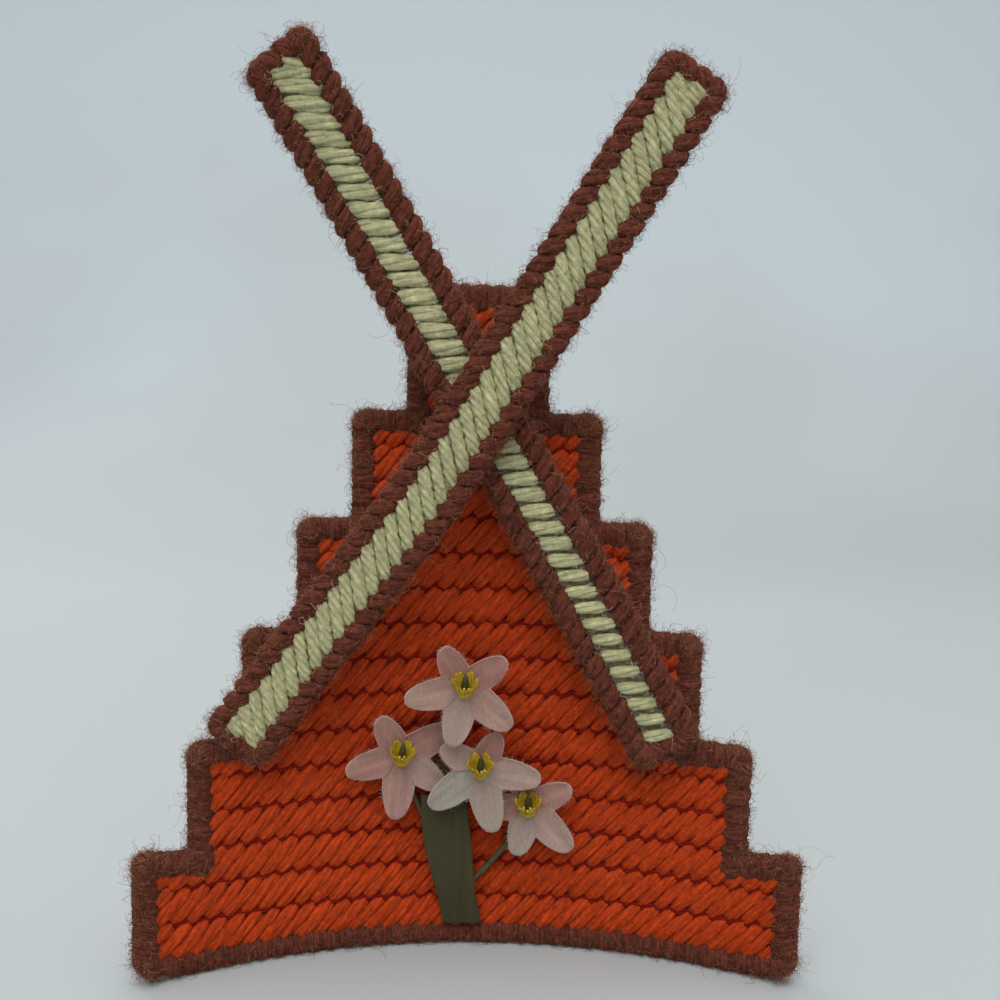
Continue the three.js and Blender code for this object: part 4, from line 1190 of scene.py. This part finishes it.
def through(points, steps):
    """A smooth path through points."""
    points = np.asarray(points, float)
    padded = np.concatenate([[2 * points[0] - points[1]], points, [2 * points[-1] - points[-2]]])
    t = np.linspace(0, 1, steps, endpoint=False)[:, None]
    out = []
    for i in range(len(points) - 1):
        a, b, c, d = padded[i:i + 4]
        out.append(0.5 * (2 * b + (c - a) * t + (2 * a - 5 * b + 4 * c - d) * t**2
                          + (3 * b - a - 3 * c + d) * t**3))
    return np.concatenate([*out, points[-1:]])


def stem(name, centre, bends):
    across, height, standoff = centre
    neck = [(across, height, standoff - NECK_TOP), (across, height, standoff - NECK_TOP - NECK_LENGTH)]
    line = tower(through(neck + list(bends), 8) - np.array([0, EDGE_REACH, 0]))
    rings = rod(line, np.full(len(line), STEM_RADIUS), 12)
    strand = np.zeros_like(rings)
    strand[..., 0] = np.arange(len(line))[:, None] * 0.6
    strands = Strands()
    strands.tubes(rings[None], strand[None])
    make_piece(f"{name}_wire", strands, [green_plastic], "stem", f"{name}_stem")


def leaf():
    heights, middles, halves, standoffs = np.array(LEAF).T
    up = np.linspace(heights[0], heights[-1], LEAF_ROWS)

    def softened(values):
        return np.convolve(np.pad(np.interp(up, heights, values), 3, mode="edge"), np.ones(7) / 7, "valid")

    columns = np.linspace(-1, 1, LEAF_COLUMNS)
    half = softened(halves)[:, None]
    side = columns * half + np.interp(up, heights, middles)[:, None]
    ripple = 0.1 * np.sin(9 * columns + 0.25 * up[:, None]) + 0.05 * np.sin(31 * columns)
    depth = softened(standoffs)[:, None] - LEAF_SAG_SHARE * half * columns**2 + 0.12 * ripple
    cut = 0.1 * np.sin(40 * columns) * (np.arange(LEAF_ROWS) == 0)[:, None]
    height = np.broadcast_to(up[:, None], side.shape) - EDGE_REACH + cut
    back = np.stack([side, height, depth], -1)
    front = np.stack([side, height, depth + LEAF_THICKNESS], -1)
    ring = np.concatenate([front, back[:, ::-1]], axis=1)
    strands = Strands()
    strands.tubes(tower(ring)[None], ring[None])
    make_piece("ribbon_leaf", strands, [leaf_cloth], "leaf", "leaf")


def glue_blob(node):
    """A set bead of glue: the CAD bead rounded off and made a little uneven."""
    piece = link(f"{node}_blob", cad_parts[node].data.copy())
    piece.data.materials.clear()
    piece.data.materials.append(set_glue)
    smoother = piece.modifiers.new("round", "SUBSURF")
    smoother.levels = smoother.render_levels = 3
    depsgraph = bpy.context.evaluated_depsgraph_get()
    mesh = bpy.data.meshes.new_from_object(piece.evaluated_get(depsgraph))
    piece.modifiers.clear()
    piece.data = mesh
    centre = sum((v.co for v in mesh.vertices), Vector()) / len(mesh.vertices)
    for vertex in mesh.vertices:
        x, y, z = vertex.co
        swell = math.sin(2100 * x) * math.sin(1700 * z) * math.sin(1300 * y)
        vertex.co = centre + (vertex.co - centre) * (GLUE_SWELL + GLUE_UNEVENNESS * swell)
    mesh.polygons.foreach_set("use_smooth", np.ones(len(mesh.polygons), bool))
    finish_piece(piece, "glue", node)


for flower_name, (flower_centre, flower_petals, flower_bends) in FLOWERS.items():
    flower_seat = seat_on_tower(*flower_centre)
    corolla(flower_name, flower_seat, flower_petals)
    crown(flower_name, flower_seat)
    pistil(flower_name, flower_seat)
    stem(flower_name, flower_centre, flower_bends)
leaf()
for glue_node in ("hub_glue", "rear_sail_glue", "front_sail_glue", "bouquet_glue"):
    glue_blob(glue_node)


# Floor, backdrop, lamps and camera, in metres but for the camera's place

FLOOR_FRONT = -1.4
FLOOR_DEPTH = 0.55
SWEEP_HALF_WIDTH = 3.0
SWEEP_RADIUS = 0.6
SWEEP_HEIGHT = 2.4
WORLD_COLOR = (0.93, 0.97, 1.0)
WORLD_STRENGTH = 0.42

# Each lamp's place, target, size and power
LAMPS = {
    "key_lamp": ((-0.15, -1.3, 1.6), (0, 0, 0.06), (1.6, 1.6), 28.0),
    "top_lamp": ((0.2, 0.1, 1.8), (0, 0.1, 0.08), (2.0, 1.6), 4.0),
    "back_lamp": ((-0.5, 0.5, 0.5), (0, 0, 0.1), (0.5, 0.5), 1.2),
    "backdrop_lamp": ((0.0, 0.1, 1.5), (0, 1.1, 0.35), (2.0, 0.8), 6.0),
}
CAMERA_PLACE = (-6.90, -242.70, 120.53)
CAMERA_TURN = -0.0484
CAMERA_DOWN = 0.1076
CAMERA_ROLL = 0.0233
FOCAL_PIXELS = 1195
FRAME_PIXELS = 1000
SENSOR = 36.0


def sweep():
    """A pale floor that curves up into a backdrop."""
    profile = [(FLOOR_FRONT, 0.0), (FLOOR_DEPTH, 0.0)]
    for turn in np.linspace(0.1, math.pi / 2, 14):
        profile.append((FLOOR_DEPTH + SWEEP_RADIUS * math.sin(turn), SWEEP_RADIUS * (1 - math.cos(turn))))
    profile.append((FLOOR_DEPTH + SWEEP_RADIUS, SWEEP_HEIGHT))
    verts = [(x, y, z) for y, z in profile for x in (-SWEEP_HALF_WIDTH, SWEEP_HALF_WIDTH)]
    faces = [(2 * i, 2 * i + 1, 2 * i + 3, 2 * i + 2) for i in range(len(profile) - 1)]
    mesh = bpy.data.meshes.new("sweep")
    mesh.from_pydata(verts, [], faces)
    mesh.polygons.foreach_set("use_smooth", [True] * len(faces))
    material, tree, shader = new_material("sweep_paper")
    place = object_place(tree)
    # Painted shade: the floor is painted darker and a little warmer than the upright backdrop, to cancel the
    # lamps' extra light on it.
    height = multiply_add(tree, split_vector(tree, place)["Z"], 1.4, noise(tree, place, 3.0))
    paper_and_painted_shade = ramp(tree, height, [(0.5, srgb(183, 188, 188)), (1.0, srgb(190, 199, 203))])
    set_inputs(tree, shader, {"Base Color": paper_and_painted_shade, "Roughness": 0.9, "Specular IOR Level": 0.1})
    mesh.materials.append(material)
    floor = link("sweep", mesh)
    floor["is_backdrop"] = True


def lamp(name, place, target, size, power):
    data = bpy.data.lights.new(name, "AREA")
    data.shape = "RECTANGLE"
    data.size, data.size_y = size
    data.energy = power
    light = link(name, data)
    light.location = place
    light.rotation_euler = (Vector(target) - Vector(place)).to_track_quat("-Z", "Y").to_euler()


def camera():
    data = bpy.data.cameras.new("camera")
    data.sensor_width = SENSOR
    data.lens = SENSOR * FOCAL_PIXELS / FRAME_PIXELS
    data.clip_start = 0.01
    data.clip_end = 20
    view = link("camera", data)
    view.matrix_world = (Matrix.Translation(Vector(CAMERA_PLACE) * MM) @ Matrix.Rotation(CAMERA_TURN, 4, "Z")
                         @ Matrix.Rotation(math.pi / 2 - CAMERA_DOWN, 4, "X")
                         @ Matrix.Rotation(CAMERA_ROLL, 4, "Z"))
    bpy.context.scene.camera = view


sweep()
world = bpy.data.worlds.new("studio")
world.use_nodes = True
set_inputs(world.node_tree, world.node_tree.nodes["Background"],
           {"Color": opaque(WORLD_COLOR), "Strength": WORLD_STRENGTH})
bpy.context.scene.world = world
for lamp_name, lamp_choice in LAMPS.items():
    lamp(lamp_name, *lamp_choice)
camera()
bpy.context.scene.view_settings.view_transform = "Standard"

corners = [[list(map(float, corner)) for corner in box] for box in (cad_box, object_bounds())]
